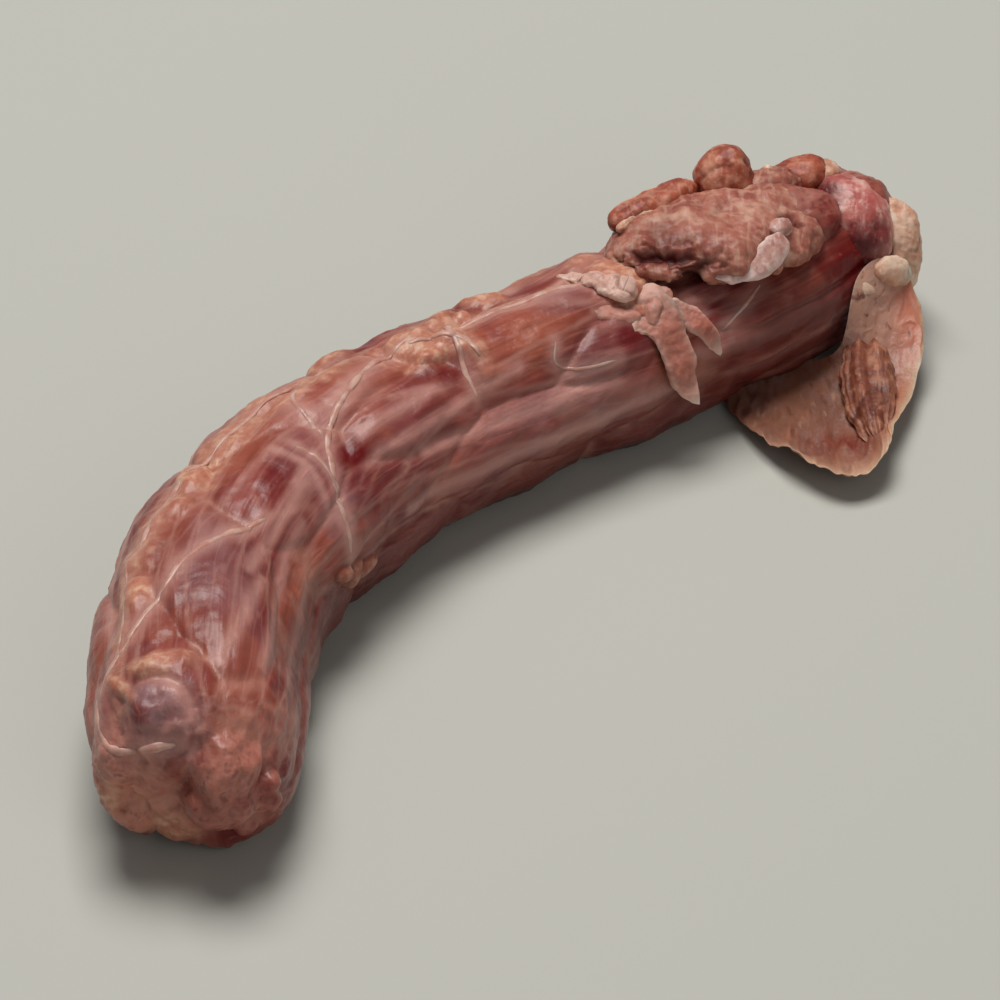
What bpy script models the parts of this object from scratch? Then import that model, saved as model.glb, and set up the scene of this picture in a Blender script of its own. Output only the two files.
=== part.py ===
# A raw, skinned chicken neck, lying curved on its side on a flat surface.
# One solid: a bent tube of muscle bundles with a rounded end and a cut end, the lumpy meat left
# on top of the cut end, scraps of fat, and the torn tag and flap of skin that trail from it.
# Sizes are in millimetres and the mesh is written in metres, +Z up. The origin is under the
# middle of the bounding box. "Along" runs from the rounded end to the cut end in millimetres.
# "Around" is in degrees: 0 is the hollow side of the bend, 90 the top, 180 the outer side.

import bmesh
import bpy
import numpy as np

MM = 0.001

# The bent tube
NECK_LENGTH = 145.0
ROUNDED_END = (-32.70, -52.24)
HEADING_AT_START = 117.6
START_BEND, START_BEND_AT, START_BEND_SPREAD = 19.0, 10.0, 4.0
MAIN_BEND, MAIN_BEND_AT, MAIN_BEND_SPREAD = 89.6, 38.0, 21.4
END_BEND, END_BEND_AT, END_BEND_SPREAD = -14.3, 114.0, 4.0
RADIUS_ALONG = (
    (0, 11.2),
    (12, 11.6),
    (26, 11.7),
    (40, 11.6),
    (60, 11.1),
    (78, 10.4),
    (99, 10.1),
    (124, 9.8),
    (145, 8.9),
)
SAG = 0.9  # height of the middle over the radius, so the underside lies flat
ROUNDED_CAP, ROUNDED_CAP_POWER = 11.0, 2.4
CUT_CAP, CUT_CAP_POWER = 6.5, 2.8
LINE_STEPS = 600
RINGS, RING_POINTS = 100, 38
PLAN_MIDDLE = (2.62, 4.28)  # what the plan is moved by, so the origin is under the box's middle

# Muscle bundles that bulge: along, around, half length, half width, skew, height
BUNDLES = (
    (7.0, 120.0, 8.5, 6.3, 0.0, 0.9),
    (24.0, 86.0, 13.0, 7.0, 14.0, 1.2),
    (46.0, 70.0, 11.0, 6.2, -10.0, 1.1),
    (57.0, 24.0, 13.0, 6.2, 4.0, 1.1),
    (66.0, 52.0, 12.5, 5.4, 6.0, 1.1),
    (62.0, 98.0, 11.0, 5.2, 0.0, 1.0),
    (89.0, 72.0, 13.5, 6.4, 5.0, 1.3),
    (97.0, 40.0, 7.5, 5.0, 0.0, 1.2),
    (88.0, 6.0, 26.0, 4.6, 0.0, 1.0),
    (122.0, 8.0, 20.0, 3.6, 0.0, 1.1),
    (127.0, -22.0, 20.0, 4.0, 0.0, 1.0),
    (124.0, 33.0, 15.0, 3.6, 4.0, 0.9),
)
BACK_ROWS = (135.0, 168.0, 201.0, 318.0)
BACK_BUNDLE = (13.5, 6.4, 1.1)
BACK_STEP, BACK_STAGGER, BACK_SKEW = 22.0, 9.0, 12.0
BUNDLE_FLOOR = -0.7

# Rounded lumps grown into the tube: along, around, out, half length, half width, half height, skew
END_LUMPS = (
    (2.4, 44.0, -3.8, 5.0, 3.8, 3.9, 0.0),
    (1.4, -8.0, -4.2, 4.0, 3.4, 4.2, 0.0),
    (6.0, 8.0, -4.6, 3.2, 3.2, 3.4, 0.0),
    (5.4, 204.0, -2.7, 4.4, 5.0, 2.8, 0.0),
    (5.0, 160.0, -2.2, 4.4, 5.0, 2.8, 0.0),
)
FAT_LUMPS = (
    (9.6, 109.0, -0.9, 2.2, 3.8, 1.4, 0.0),
    (8.4, 131.0, -0.2, 3.4, 1.0, 0.9, 24.0),
    (75.0, 104.0, -0.6, 3.4, 2.3, 2.1, 10.0),
    (78.5, 88.0, -0.5, 2.2, 2.6, 1.8, 0.0),
    (80.5, 70.0, -0.5, 1.6, 3.4, 1.6, -20.0),
    (103.0, 92.0, -0.5, 3.6, 3.4, 2.0, -30.0),
    (47.0, -6.0, -0.6, 3.4, 2.2, 2.2, 0.0),
)
FAT_RIDGE = (22.0, 108.0, 6.6, 126.0)  # first, last and step along, and the middle around
MEAT_MOUNDS = (
    (114.0, 112.0, 0.6, 9.0, 5.8, 4.4, -24.0),
    (125.0, 88.0, 0.2, 9.0, 5.4, 3.8, -22.0),
    (119.0, 138.0, 0.0, 8.0, 5.0, 3.4, 0.0),
    (138.0, 66.0, -2.0, 3.6, 3.8, 4.0, 0.0),
    (107.5, 122.0, 2.4, 2.6, 3.2, 2.6, 0.0),
    (110.5, 104.0, 2.8, 3.0, 2.8, 2.4, 30.0),
    (114.5, 92.0, 2.4, 2.6, 3.0, 2.6, 0.0),
    (116.0, 112.0, 3.6, 3.4, 2.8, 2.4, -20.0),
    (119.0, 80.0, 2.2, 3.2, 2.6, 2.4, 0.0),
    (121.0, 99.0, 2.8, 3.0, 3.4, 2.6, 20.0),
    (124.5, 74.0, 1.8, 3.0, 2.4, 2.4, 0.0),
    (127.0, 92.0, 2.4, 3.4, 3.0, 2.4, -30.0),
    (131.0, 78.0, 1.2, 3.0, 3.0, 2.6, 0.0),
)
BLEND_OF_LUMPS = 0.7

# Knobs on the skyline of the cut end: along, around, out, half length, half width, half height, skew
KNOBS = (
    (112.5, 126.0, 4.0, 5.6, 2.3, 2.2, -8.0),
    (125.0, 116.0, 4.4, 3.9, 3.4, 3.6, 0.0),
    (134.0, 108.0, 1.8, 4.4, 2.7, 2.5, -12.0),
)
KNOB_SEGMENTS, KNOB_RINGS = 14, 9

# Strips of fat and skin. Path points: along, around, out, half width, half thickness
COLLAR = (
    (137.5, 100.0, -0.2, 1.6, 1.2),
    (140.0, 76.0, 0.2, 1.8, 1.4),
    (141.0, 48.0, 0.3, 2.0, 1.5),
    (141.0, 20.0, 0.4, 1.9, 1.5),
    (140.0, -8.0, 0.3, 1.8, 1.4),
    (138.0, -32.0, -0.1, 1.6, 1.2),
)
TAG = (
    (99.0, 80.0, 0.1, 1.5, 0.9),
    (103.5, 64.0, 0.7, 2.0, 1.2),
    (106.5, 44.0, 1.3, 2.3, 1.4),
    (107.2, 22.0, 1.5, 2.1, 1.1),
    (107.6, 0.0, 1.3, 1.7, 0.8),
    (108.6, -20.0, 0.9, 0.9, 0.5),
)
TAG_EDGE = (
    (105.0, 62.0, 0.3, 1.2, 0.9),
    (109.5, 48.0, 0.7, 1.3, 1.0),
    (111.5, 28.0, 0.8, 1.2, 0.9),
    (112.0, 8.0, 0.5, 0.9, 0.6),
)

# The thin flap that trails onto the surface. Rows: the X, Y, Z of its root, then of its free edge
FLAP = (
    (45.0, 51.5, 10.5, 49.0, 50.5, 11.5),
    (43.5, 49.0, 6.0, 49.8, 45.5, 6.5),
    (41.5, 46.0, 3.0, 49.0, 37.5, 2.4),
    (38.5, 43.0, 1.6, 46.8, 25.0, 1.3),
    (34.5, 40.5, 1.3, 38.0, 16.3, 1.8),
    (30.0, 38.0, 1.3, 29.5, 23.0, 1.3),
    (26.5, 35.8, 1.3, 25.2, 30.5, 1.1),
)
FLAP_HALF_THICKNESS, FLAP_WAVE, FLAP_WAVES = 0.6, 0.4, 3.5
FLAP_TAB = (
    (47.3, 44.0, 5.2, 1.7, 0.9),
    (45.6, 37.5, 3.0, 2.3, 1.1),
    (43.6, 31.0, 2.4, 2.5, 1.1),
    (42.2, 26.0, 2.1, 1.5, 0.8),
)
STRIP_ROWS, STRIP_POINTS = 14, 10
FLAP_ROWS, FLAP_POINTS = 22, 22


def heading(along):
    """Direction of the neck in plan, in radians: three smooth bends taken from the first."""
    start = START_BEND / (1 + np.exp((along - START_BEND_AT) / START_BEND_SPREAD))
    main = MAIN_BEND / (1 + np.exp(-(along - MAIN_BEND_AT) / MAIN_BEND_SPREAD))
    end = END_BEND / (1 + np.exp(-(along - END_BEND_AT) / END_BEND_SPREAD))
    return np.radians(HEADING_AT_START - start - main - end)


def walked(start, pace, steps):
    """Running total of a pace along the neck, by the trapezoid rule."""
    middle = (pace[1:] + pace[:-1]) / 2 * np.diff(steps)
    return start + np.concatenate([[0], np.cumsum(middle)])


LINE_ALONG = np.linspace(0, NECK_LENGTH, LINE_STEPS)
LINE_X = walked(ROUNDED_END[0], np.cos(heading(LINE_ALONG)), LINE_ALONG)
LINE_Y = walked(ROUNDED_END[1], np.sin(heading(LINE_ALONG)), LINE_ALONG)


def hermite(table, at):
    """A smooth curve through the rows of a table, whose first column is the place."""
    rows = np.array(table, float)
    place, values = rows[:, 0], rows[:, 1:]
    slope = np.gradient(values, place, axis=0)
    i = np.clip(np.searchsorted(place, at) - 1, 0, len(place) - 2)
    step = place[i + 1] - place[i]
    u = ((at - place[i]) / step)[..., None]
    step = step[..., None]
    return (
        (2 * u**3 - 3 * u**2 + 1) * values[i]
        + (u**3 - 2 * u**2 + u) * step * slope[i]
        + (3 * u**2 - 2 * u**3) * values[i + 1]
        + (u**3 - u**2) * step * slope[i + 1]
    )


def radius(along):
    return hermite(RADIUS_ALONG, along)[..., 0]


def frame_at(along):
    """Middle of the tube, its direction and the level direction towards the hollow side."""
    turn = heading(along)
    level = np.zeros_like(turn)
    middle = np.stack(
        [
            np.interp(along, LINE_ALONG, LINE_X),
            np.interp(along, LINE_ALONG, LINE_Y),
            radius(along) * SAG,
        ],
        -1,
    )
    ahead = np.stack([np.cos(turn), np.sin(turn), level], -1)
    side = np.stack([np.sin(turn), -np.cos(turn), level], -1)
    return middle, ahead, side


def outwards(side, around):
    """Unit direction from the middle of the tube at an angle around it."""
    up = np.array([0.0, 0.0, 1.0])
    return np.cos(around)[..., None] * side + np.sin(around)[..., None] * up


def on_neck(along, around, out):
    """Point over the plain tube, with the direction along it and the direction outwards."""
    along, turn = np.asarray(along, float), np.radians(around)
    inside = np.clip(along, ROUNDED_CAP, NECK_LENGTH - CUT_CAP)
    middle, ahead, side = frame_at(inside)
    past = along - inside
    cap = np.where(past < 0, ROUNDED_CAP, CUT_CAP)
    power = np.where(past < 0, ROUNDED_CAP_POWER, CUT_CAP_POWER)
    shrink = (1 - np.minimum(np.abs(past) / cap, 0.995) ** power) ** (1 / power)
    normal = outwards(side, turn)
    reach = (radius(inside) * shrink + out)[..., None]
    return middle + ahead * past[..., None] + normal * reach, ahead, normal


def neck_rays(rings, ring_points):
    """Ray starts and directions for a grid of rings: hemispheres at the ends, circles between."""
    quarter_a, quarter_b = 1.5 * ROUNDED_CAP, 1.8 * CUT_CAP
    body = NECK_LENGTH - ROUNDED_CAP - CUT_CAP
    walk = np.linspace(0, quarter_a + body + quarter_b, rings)
    polar = np.full(rings, np.pi / 2)
    first, last = walk < quarter_a, walk > quarter_a + body
    polar[first] *= walk[first] / quarter_a
    polar[last] *= 1 + (walk[last] - quarter_a - body) / quarter_b
    start = np.clip(walk - quarter_a, 0, body) + ROUNDED_CAP
    around = np.linspace(0, 2 * np.pi, ring_points, endpoint=False)
    polar, start = np.repeat(polar[:, None], ring_points, 1), np.repeat(start[:, None], ring_points, 1)
    around = np.repeat(around[None, :], rings, 0)
    middle, ahead, side = frame_at(start)
    normal = outwards(side, around)
    ray = np.sin(polar)[..., None] * normal - np.cos(polar)[..., None] * ahead
    cap = np.where(polar < np.pi / 2, ROUNDED_CAP, CUT_CAP)
    power = np.where(polar < np.pi / 2, ROUNDED_CAP_POWER, CUT_CAP_POWER)
    lengthwise, across = np.abs(np.cos(polar)) / cap, np.sin(polar) / radius(start)
    reach = (lengthwise**power + across**power) ** (-1 / power)
    return middle, ray, reach


def turned_frame(along, around, skew):
    """Tangent frame on the neck: lengthwise, crosswise and outwards, turned by a skew angle."""
    point, ahead, normal = on_neck(along, around, 0.0)
    across = np.cross(normal, ahead)
    angle = np.radians(skew)
    lengthwise = np.cos(angle) * ahead + np.sin(angle) * across
    return point, np.stack([lengthwise, np.cross(normal, lengthwise), normal])


def back_bundles():
    """The bundles of the far side and the underside, in staggered rows worked out by rule."""
    half_length, half_width, height = BACK_BUNDLE
    found = []
    for row, around in enumerate(BACK_ROWS):
        first = ROUNDED_CAP + BACK_STAGGER * row
        while first > ROUNDED_CAP + BACK_STEP:
            first -= BACK_STEP
        for step, along in enumerate(np.arange(first, NECK_LENGTH - CUT_CAP, BACK_STEP)):
            skew = BACK_SKEW * (1 if (row + step) % 2 else -1)
            found.append((along, around, half_length, half_width, skew, height))
    return found


def ridge_lumps():
    """The uneven row of creamy fat along the outer edge of the bend, worked out by rule."""
    first, last, step, middle = FAT_RIDGE
    found = []
    for i, along in enumerate(np.arange(first, last, step)):
        around = middle + 9.0 * np.sin(1.9 * i)
        size = 1.9 + 0.4 * np.sin(2.7 * i + 1.0)
        found.append((along, around, -0.5, 1.5 * size, size, 0.9 * size, 25.0 * np.sin(2.3 * i)))
    return found


def bundle_height(points):
    """Height of the highest bundle over each point: every bundle is one low, long dome."""
    best = np.full(points.shape[:-1], BUNDLE_FLOOR)
    for along, around, half_length, half_width, skew, height in (*BUNDLES, *back_bundles()):
        centre, frame = turned_frame(along, around, skew)
        local = (points - centre) @ frame.T / (half_length, half_width, 1.5 * half_width)
        best = np.maximum(best, height * (1 - (local**2).sum(-1)))
    return best


def smooth_max(a, b, width):
    return (a + b + np.sqrt((a - b) ** 2 + width**2)) / 2


def ellipsoid_reach(start, ray, lump):
    """How far each ray runs before it leaves an ellipsoid, and 0 where it misses."""
    along, around, out, half_length, half_width, half_height, skew = lump
    point, frame = turned_frame(along, around, skew)
    centre = point + out * frame[2]
    size = np.array([half_length, half_width, half_height])
    local_start = (start - centre) @ frame.T / size
    local_ray = ray @ frame.T / size
    a = (local_ray**2).sum(-1)
    b = (local_ray * local_start).sum(-1)
    c = (local_start**2).sum(-1) - 1
    inside = b**2 - a * c
    far = (-b + np.sqrt(np.maximum(inside, 0))) / a
    return np.where(inside > 0, np.maximum(far, 0), 0.0)


def tube_points():
    """The tube with its bundles and grown-in lumps, sagged flat where it rests."""
    start, ray, reach = neck_rays(RINGS, RING_POINTS)
    reach = reach + bundle_height(start + ray * reach[..., None])
    for lump in (*END_LUMPS, *FAT_LUMPS, *ridge_lumps(), *MEAT_MOUNDS):
        reach = smooth_max(reach, ellipsoid_reach(start, ray, lump), BLEND_OF_LUMPS)
    return on_surface(start + ray * reach[..., None])


def on_surface(points):
    """Nothing reaches below the surface that the neck lies on."""
    points[..., 2] = np.maximum(points[..., 2], 0.0)
    return points


def knob_points(lump):
    """A small knob: an ellipsoid with a few soft swellings."""
    along, around, out, half_length, half_width, half_height, skew = lump
    point, frame = turned_frame(along, around, skew)
    polar = np.linspace(0, np.pi, KNOB_RINGS)[:, None]
    turn = np.linspace(0, 2 * np.pi, KNOB_SEGMENTS, endpoint=False)[None, :]
    unit = np.stack([np.cos(polar) + 0 * turn, np.sin(polar) * np.cos(turn), np.sin(polar) * np.sin(turn)], -1)
    swell = 1 + 0.06 * np.sin(3 * turn + 2 * polar + along) * np.sin(polar)
    local = unit * swell[..., None] * (half_length, half_width, half_height)
    return point + out * frame[2] + local @ frame


def strip_points(table, normals, rows, ring_points):
    """A flat strip with round edges along a path: its ring is an oval, closed at both ends."""
    count = len(table)
    place = np.linspace(0, count - 1, rows)
    smooth = hermite([(i, *row) for i, row in enumerate(table)], place)
    path, half_width, half_thick = smooth[:, :3], smooth[:, 3], smooth[:, 4]
    normal = hermite([(i, *row) for i, row in enumerate(normals)], place)
    ahead = np.gradient(path, axis=0)
    ahead /= np.linalg.norm(ahead, axis=1, keepdims=True)
    normal -= ahead * (normal * ahead).sum(1, keepdims=True)
    normal /= np.linalg.norm(normal, axis=1, keepdims=True)
    side = np.cross(ahead, normal)
    close = closing(rows)
    turn = np.linspace(0, 2 * np.pi, ring_points, endpoint=False)
    across = np.cos(turn)[None, :] * (half_width * close)[:, None]
    lift = np.sin(turn)[None, :] * (half_thick * close)[:, None]
    return path[:, None] + side[:, None] * across[..., None] + normal[:, None] * lift[..., None]


def closing(rows):
    """1 along most of a strip, and rounding down to 0 at its two ends."""
    return np.sqrt(1 - np.abs(np.linspace(-1, 1, rows)) ** 6)


def strip_on_neck(table):
    """A strip whose path is given on the neck's own coordinates."""
    rows, normals = [], []
    for along, around, out, half_width, half_thick in table:
        point, _, normal = on_neck(along, around, out)
        rows.append((*point, half_width, half_thick))
        normals.append(normal)
    return strip_points(rows, normals, STRIP_ROWS, STRIP_POINTS)


def flap_points():
    """A thin wavy sheet between its root line and its free edge, with a rounded rim."""
    count = len(FLAP)
    rows = hermite([(i, *row) for i, row in enumerate(FLAP)], np.linspace(0, count - 1, FLAP_ROWS))
    root, free = rows[:, None, :3], rows[:, None, 3:]
    close = closing(FLAP_ROWS)[:, None, None]
    turn = np.linspace(0, 2 * np.pi, FLAP_POINTS, endpoint=False)
    share = 0.5 - 0.5 * np.cos(turn)[None, :, None] * close
    flat = root + (free - root) * share
    normal = np.cross(np.gradient(flat[:, 0], axis=0), (free - root)[:, 0])
    normal *= np.sign(normal[:, 2:])
    normal /= np.linalg.norm(normal, axis=1, keepdims=True)
    run = np.linspace(0, 1, FLAP_ROWS)[:, None, None]
    ripple = FLAP_WAVE * np.sin(2 * np.pi * FLAP_WAVES * run + 2.0 * share) * share**2
    lift = FLAP_HALF_THICKNESS * np.sin(turn)[None, :, None] * close + ripple
    return flat + normal[:, None] * lift


def tab_normals():
    """The crinkled tab on the flap faces up and to the open side."""
    return [(-0.2, -0.4, 1.0)] * len(FLAP_TAB)


def closed_loft(name, points, material):
    """A mesh object from rings whose first and last close on a point. Faces point outwards."""
    first, last = points[0].mean(0), points[-1].mean(0)
    rings = points[1:-1]
    count, around = rings.shape[:2]
    shift = np.array([*PLAN_MIDDLE, 0.0])
    places = (np.vstack([first, rings.reshape(-1, 3), last]) - shift) * MM
    faces = []
    for j in range(around):
        k = (j + 1) % around
        faces.append((0, 1 + j, 1 + k))
        faces.append((len(places) - 1, 1 + (count - 1) * around + k, 1 + (count - 1) * around + j))
        for i in range(count - 1):
            low, high = 1 + i * around, 1 + (i + 1) * around
            faces.append((low + j, high + j, high + k, low + k))
    mesh = bpy.data.meshes.new(name)
    mesh.from_pydata(places.tolist(), [], faces)
    made = bmesh.new()
    made.from_mesh(mesh)
    bmesh.ops.triangulate(made, faces=made.faces)
    bmesh.ops.recalc_face_normals(made, faces=made.faces)
    made.to_mesh(mesh)
    made.free()
    mesh.materials.append(material)
    return bpy.data.objects.new(name, mesh)


def raw_meat():
    """Raw dark neck meat: a muted pink brown, moist."""
    material = bpy.data.materials.new("raw_meat")
    material.use_nodes = True
    shader = material.node_tree.nodes["Principled BSDF"]
    shader.inputs["Base Color"].default_value = (0.305, 0.126, 0.105, 1.0)
    shader.inputs["Roughness"].default_value = 0.42
    shader.inputs["Metallic"].default_value = 0.0
    return material


def collection_named(name):
    made = bpy.data.collections.new(name)
    bpy.context.scene.collection.children.link(made)
    return made


def fused(base, others, collection):
    """Joins every object of a collection to the base with one Boolean union, then removes them."""
    joined = collection_named("scraps")
    for other in others:
        joined.objects.link(other)
    collection.objects.link(base)
    union = base.modifiers.new("union", "BOOLEAN")
    union.operation = "UNION"
    union.operand_type = "COLLECTION"
    union.collection = joined
    union.solver = "MANIFOLD"
    bpy.context.view_layer.objects.active = base
    bpy.ops.object.modifier_apply(modifier=union.name)
    for other in others:
        bpy.data.objects.remove(other)
    bpy.data.collections.remove(joined)
    return base


def build_neck():
    for old in list(bpy.data.objects):
        bpy.data.objects.remove(old)
    meat = raw_meat()
    neck = closed_loft("neck", tube_points(), meat)
    scraps = [closed_loft(f"knob_{i}", knob_points(knob), meat) for i, knob in enumerate(KNOBS)]
    for name, table in (("collar", COLLAR), ("tag", TAG), ("tag_edge", TAG_EDGE)):
        scraps.append(closed_loft(name, strip_on_neck(table), meat))
    scraps.append(closed_loft("flap", on_surface(flap_points()), meat))
    tab = strip_points(FLAP_TAB, tab_normals(), STRIP_ROWS, STRIP_POINTS)
    scraps.append(closed_loft("flap_tab", on_surface(tab), meat))
    fused(neck, scraps, collection_named("chicken_neck"))
    neck.data.shade_smooth()
    return neck


build_neck()
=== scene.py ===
# %% [markdown]
# # A raw chicken neck
# This lesson dresses a plain solid of a raw, skinned chicken neck so that it looks like meat.
# The solid was made first and packed as a fixed frame. Here it is loaded and measured, and then
# finer surfaces with wet, fleshy materials take its place.

import bpy
import numpy as np
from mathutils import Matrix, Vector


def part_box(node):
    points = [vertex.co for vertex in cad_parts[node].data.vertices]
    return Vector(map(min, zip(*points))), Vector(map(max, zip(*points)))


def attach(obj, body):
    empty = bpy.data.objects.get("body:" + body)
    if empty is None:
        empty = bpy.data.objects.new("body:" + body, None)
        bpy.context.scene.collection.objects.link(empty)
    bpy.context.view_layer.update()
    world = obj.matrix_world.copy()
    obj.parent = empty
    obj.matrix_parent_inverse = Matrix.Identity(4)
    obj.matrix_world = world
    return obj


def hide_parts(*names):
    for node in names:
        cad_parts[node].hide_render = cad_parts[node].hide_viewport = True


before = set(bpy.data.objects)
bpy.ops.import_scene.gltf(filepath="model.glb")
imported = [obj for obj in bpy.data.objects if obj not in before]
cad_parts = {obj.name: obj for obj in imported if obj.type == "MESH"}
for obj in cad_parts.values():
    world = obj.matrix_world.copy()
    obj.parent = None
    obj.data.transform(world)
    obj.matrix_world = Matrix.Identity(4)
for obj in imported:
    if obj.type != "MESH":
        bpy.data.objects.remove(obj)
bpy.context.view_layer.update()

MM_PER_M = 1000.0
NECK_BOX = np.array([list(corner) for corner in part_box("neck")]) * MM_PER_M
print("The solid neck spans, in mm:", np.round(NECK_BOX[1] - NECK_BOX[0], 1))

# %% [markdown]
# ## The bent middle line
# A neck is a rope of muscle round a chain of small bones, and it keeps the bend of its bones.
# The bend could be drawn as a curve by hand. A formula is easier to change: the heading turns
# by a small smooth step at the rounded end, by a wide one after it, and by a small one back
# near the cut end. A step with a spread below zero fades out. Walking along the heading in small
# steps gives the middle line. All lengths here are in millimetres. The middle of the neck's plan
# is the frame's origin, so it is taken off each point at the end.

# %% The middle line
NECK_LENGTH = 145.0
ROUNDED_END = (-32.70, -52.24)
HEADING_AT_START = 117.6
BENDS = ((19.0, 10.0, -4.0), (89.6, 38.0, 21.4), (-14.3, 114.0, 4.0))
LINE_POINTS = 600
PLAN_MIDDLE = np.array([2.62, 4.28, 0.0])


def heading(along):
    """First heading minus smooth steps: size / (1 + e^-((along - place) / spread))."""
    turned = HEADING_AT_START
    for size, place, spread in BENDS:
        turned = turned - size / (1 + np.exp(-(along - place) / spread))
    return np.radians(turned)


def walked(start, pace, steps):
    """Start plus the running total of the pace, by the trapezoid rule."""
    middle = (pace[1:] + pace[:-1]) / 2 * np.diff(steps)
    return start + np.concatenate([[0], np.cumsum(middle)])


LINE_ALONG = np.linspace(0, NECK_LENGTH, LINE_POINTS)
LINE_X = walked(ROUNDED_END[0], np.cos(heading(LINE_ALONG)), LINE_ALONG)
LINE_Y = walked(ROUNDED_END[1], np.sin(heading(LINE_ALONG)), LINE_ALONG)
print("The cut end is at", round(LINE_X[-1], 1), round(LINE_Y[-1], 1), "mm in plan")

# %% [markdown]
# ## The plain tube
# Seen end on, the neck is round, and it is a little thicker at the rounded end. A cone would do
# roughly, but a smooth curve through a few radii, a Hermite curve, follows the real taper free
# of corners. The same kind of curve serves for every table of places below.

# %% Radius
RADIUS_ALONG = (
    (0, 11.2), (12, 11.6), (26, 11.7), (40, 11.6), (60, 11.1), (78, 10.4), (99, 10.1), (124, 9.8),
    (145, 8.9),
)


def hermite(table, at):
    """Cubic Hermite curve through table rows (place, values...), slopes from the neighbours."""
    rows = np.array(table, float)
    place, values = rows[:, 0], rows[:, 1:]
    slope = np.gradient(values, place, axis=0)
    i = np.clip(np.searchsorted(place, at) - 1, 0, len(place) - 2)
    step = (place[i + 1] - place[i])[..., None]
    u = (at - place[i])[..., None] / step
    near = (2 * u**3 - 3 * u**2 + 1) * values[i] + (u**3 - 2 * u**2 + u) * step * slope[i]
    far = (3 * u**2 - 2 * u**3) * values[i + 1] + (u**3 - u**2) * step * slope[i + 1]
    return near + far


def resampled(table, count):
    """As many rows as wanted, evenly spaced on a smooth curve through a table's rows."""
    numbered = [(i, *row) for i, row in enumerate(table)]
    return hermite(numbered, np.linspace(0, len(table) - 1, count))


def radius(along):
    """Radius of the tube at a place along it."""
    return hermite(RADIUS_ALONG, along)[..., 0]


print("Radius at the thick end and at the cut:", radius(np.array([20.0, 140.0])).round(1), "mm")

# %% [markdown]
# ## Frames along the line
# Everything on the neck is placed by two numbers: how far along it, and how many degrees around
# it, where 0 is the hollow side of the bend and 90 the top. For that, each place on the middle
# line needs its own directions. Meat sags flat where it rests, so the line lies a little lower
# than a radius.

# %% Frames along the line
SAG = 0.9


def frame_at(along):
    """Middle point, direction ahead, and the level direction to the hollow side of the bend."""
    turn = heading(along)
    level = np.zeros_like(turn)
    x = np.interp(along, LINE_ALONG, LINE_X)
    y = np.interp(along, LINE_ALONG, LINE_Y)
    middle = np.stack([x, y, radius(along) * SAG], -1)
    ahead = np.stack([np.cos(turn), np.sin(turn), level], -1)
    side = np.stack([np.sin(turn), -np.cos(turn), level], -1)
    return middle, ahead, side


def outwards(side, around):
    """cos(around) times the side direction plus sin(around) times up."""
    up = np.array([0.0, 0.0, 1.0])
    return np.cos(around)[..., None] * side + np.sin(around)[..., None] * up


print("At mid length the middle line is", frame_at(np.array([NECK_LENGTH / 2]))[0][0, 2].round(1), "mm high")

# %% [markdown]
# ## Rays for the skin
# Each point of the skin is found by a ray that leaves the middle line. The rays fan out like a
# hemisphere at each end, so both ends close. A half ball is too pointed for a cut of meat, and a
# superellipse gives a blunter end.

# %% Rays for the skin
ROUNDED_CAP, ROUNDED_CAP_POWER = 11.0, 2.4
CUT_CAP, CUT_CAP_POWER = 6.5, 2.8
ROUNDED_WALK, CUT_WALK = 1.5 * ROUNDED_CAP, 1.8 * CUT_CAP


def full_turn(count):
    """Evenly spaced angles all the way round."""
    return np.linspace(0, 2 * np.pi, count, endpoint=False)


def neck_rays(rings, ring_points):
    """Rays for a grid. Reach is that of a superellipse: (|x/cap|^n + |y/radius|^n)^(-1/n)."""
    body = NECK_LENGTH - ROUNDED_CAP - CUT_CAP
    walk = np.linspace(0, ROUNDED_WALK + body + CUT_WALK, rings)
    polar = np.full(rings, np.pi / 2)
    first, last = walk < ROUNDED_WALK, walk > ROUNDED_WALK + body
    polar[first] *= walk[first] / ROUNDED_WALK
    polar[last] *= 1 + (walk[last] - ROUNDED_WALK - body) / CUT_WALK
    start = np.clip(walk - ROUNDED_WALK, 0, body) + ROUNDED_CAP
    around = full_turn(ring_points)
    polar = np.repeat(polar[:, None], ring_points, 1)
    start = np.repeat(start[:, None], ring_points, 1)
    around = np.repeat(around[None, :], rings, 0)
    middle, ahead, side = frame_at(start)
    ray = np.sin(polar)[..., None] * outwards(side, around) - np.cos(polar)[..., None] * ahead
    cap = np.where(polar < np.pi / 2, ROUNDED_CAP, CUT_CAP)
    power = np.where(polar < np.pi / 2, ROUNDED_CAP_POWER, CUT_CAP_POWER)
    lengthwise, across = np.abs(np.cos(polar)) / cap, np.sin(polar) / radius(start)
    reach = (lengthwise**power + across**power) ** (-1 / power)
    along = start - np.cos(polar) * reach
    return middle, ray, reach, along, around


COARSE_GRID = neck_rays(9, 8)
print("A coarse grid of rays reaches", COARSE_GRID[2].max().round(1), "mm at most")

# %% [markdown]
# ## Places on the neck
# Lumps and scraps need the way back, from a place along and around to a point in space. The
# straightened place, as if the neck were pulled straight, lets a pattern run along the neck
# round its bend.

# %% Places on the neck
ALMOST_ALL = 0.9999


def in_body(along):
    """The nearest place along that lies between the two caps."""
    return np.clip(along, ROUNDED_CAP, NECK_LENGTH - CUT_CAP)


def girth(along):
    """Radius with the caps: radius times (1 - |past the body / cap|^n)^(1/n)."""
    inside = in_body(along)
    past = along - inside
    cap = np.where(past < 0, ROUNDED_CAP, CUT_CAP)
    power = np.where(past < 0, ROUNDED_CAP_POWER, CUT_CAP_POWER)
    share = np.minimum(np.abs(past) / cap, ALMOST_ALL)
    return radius(inside) * (1 - share**power) ** (1 / power)


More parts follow.
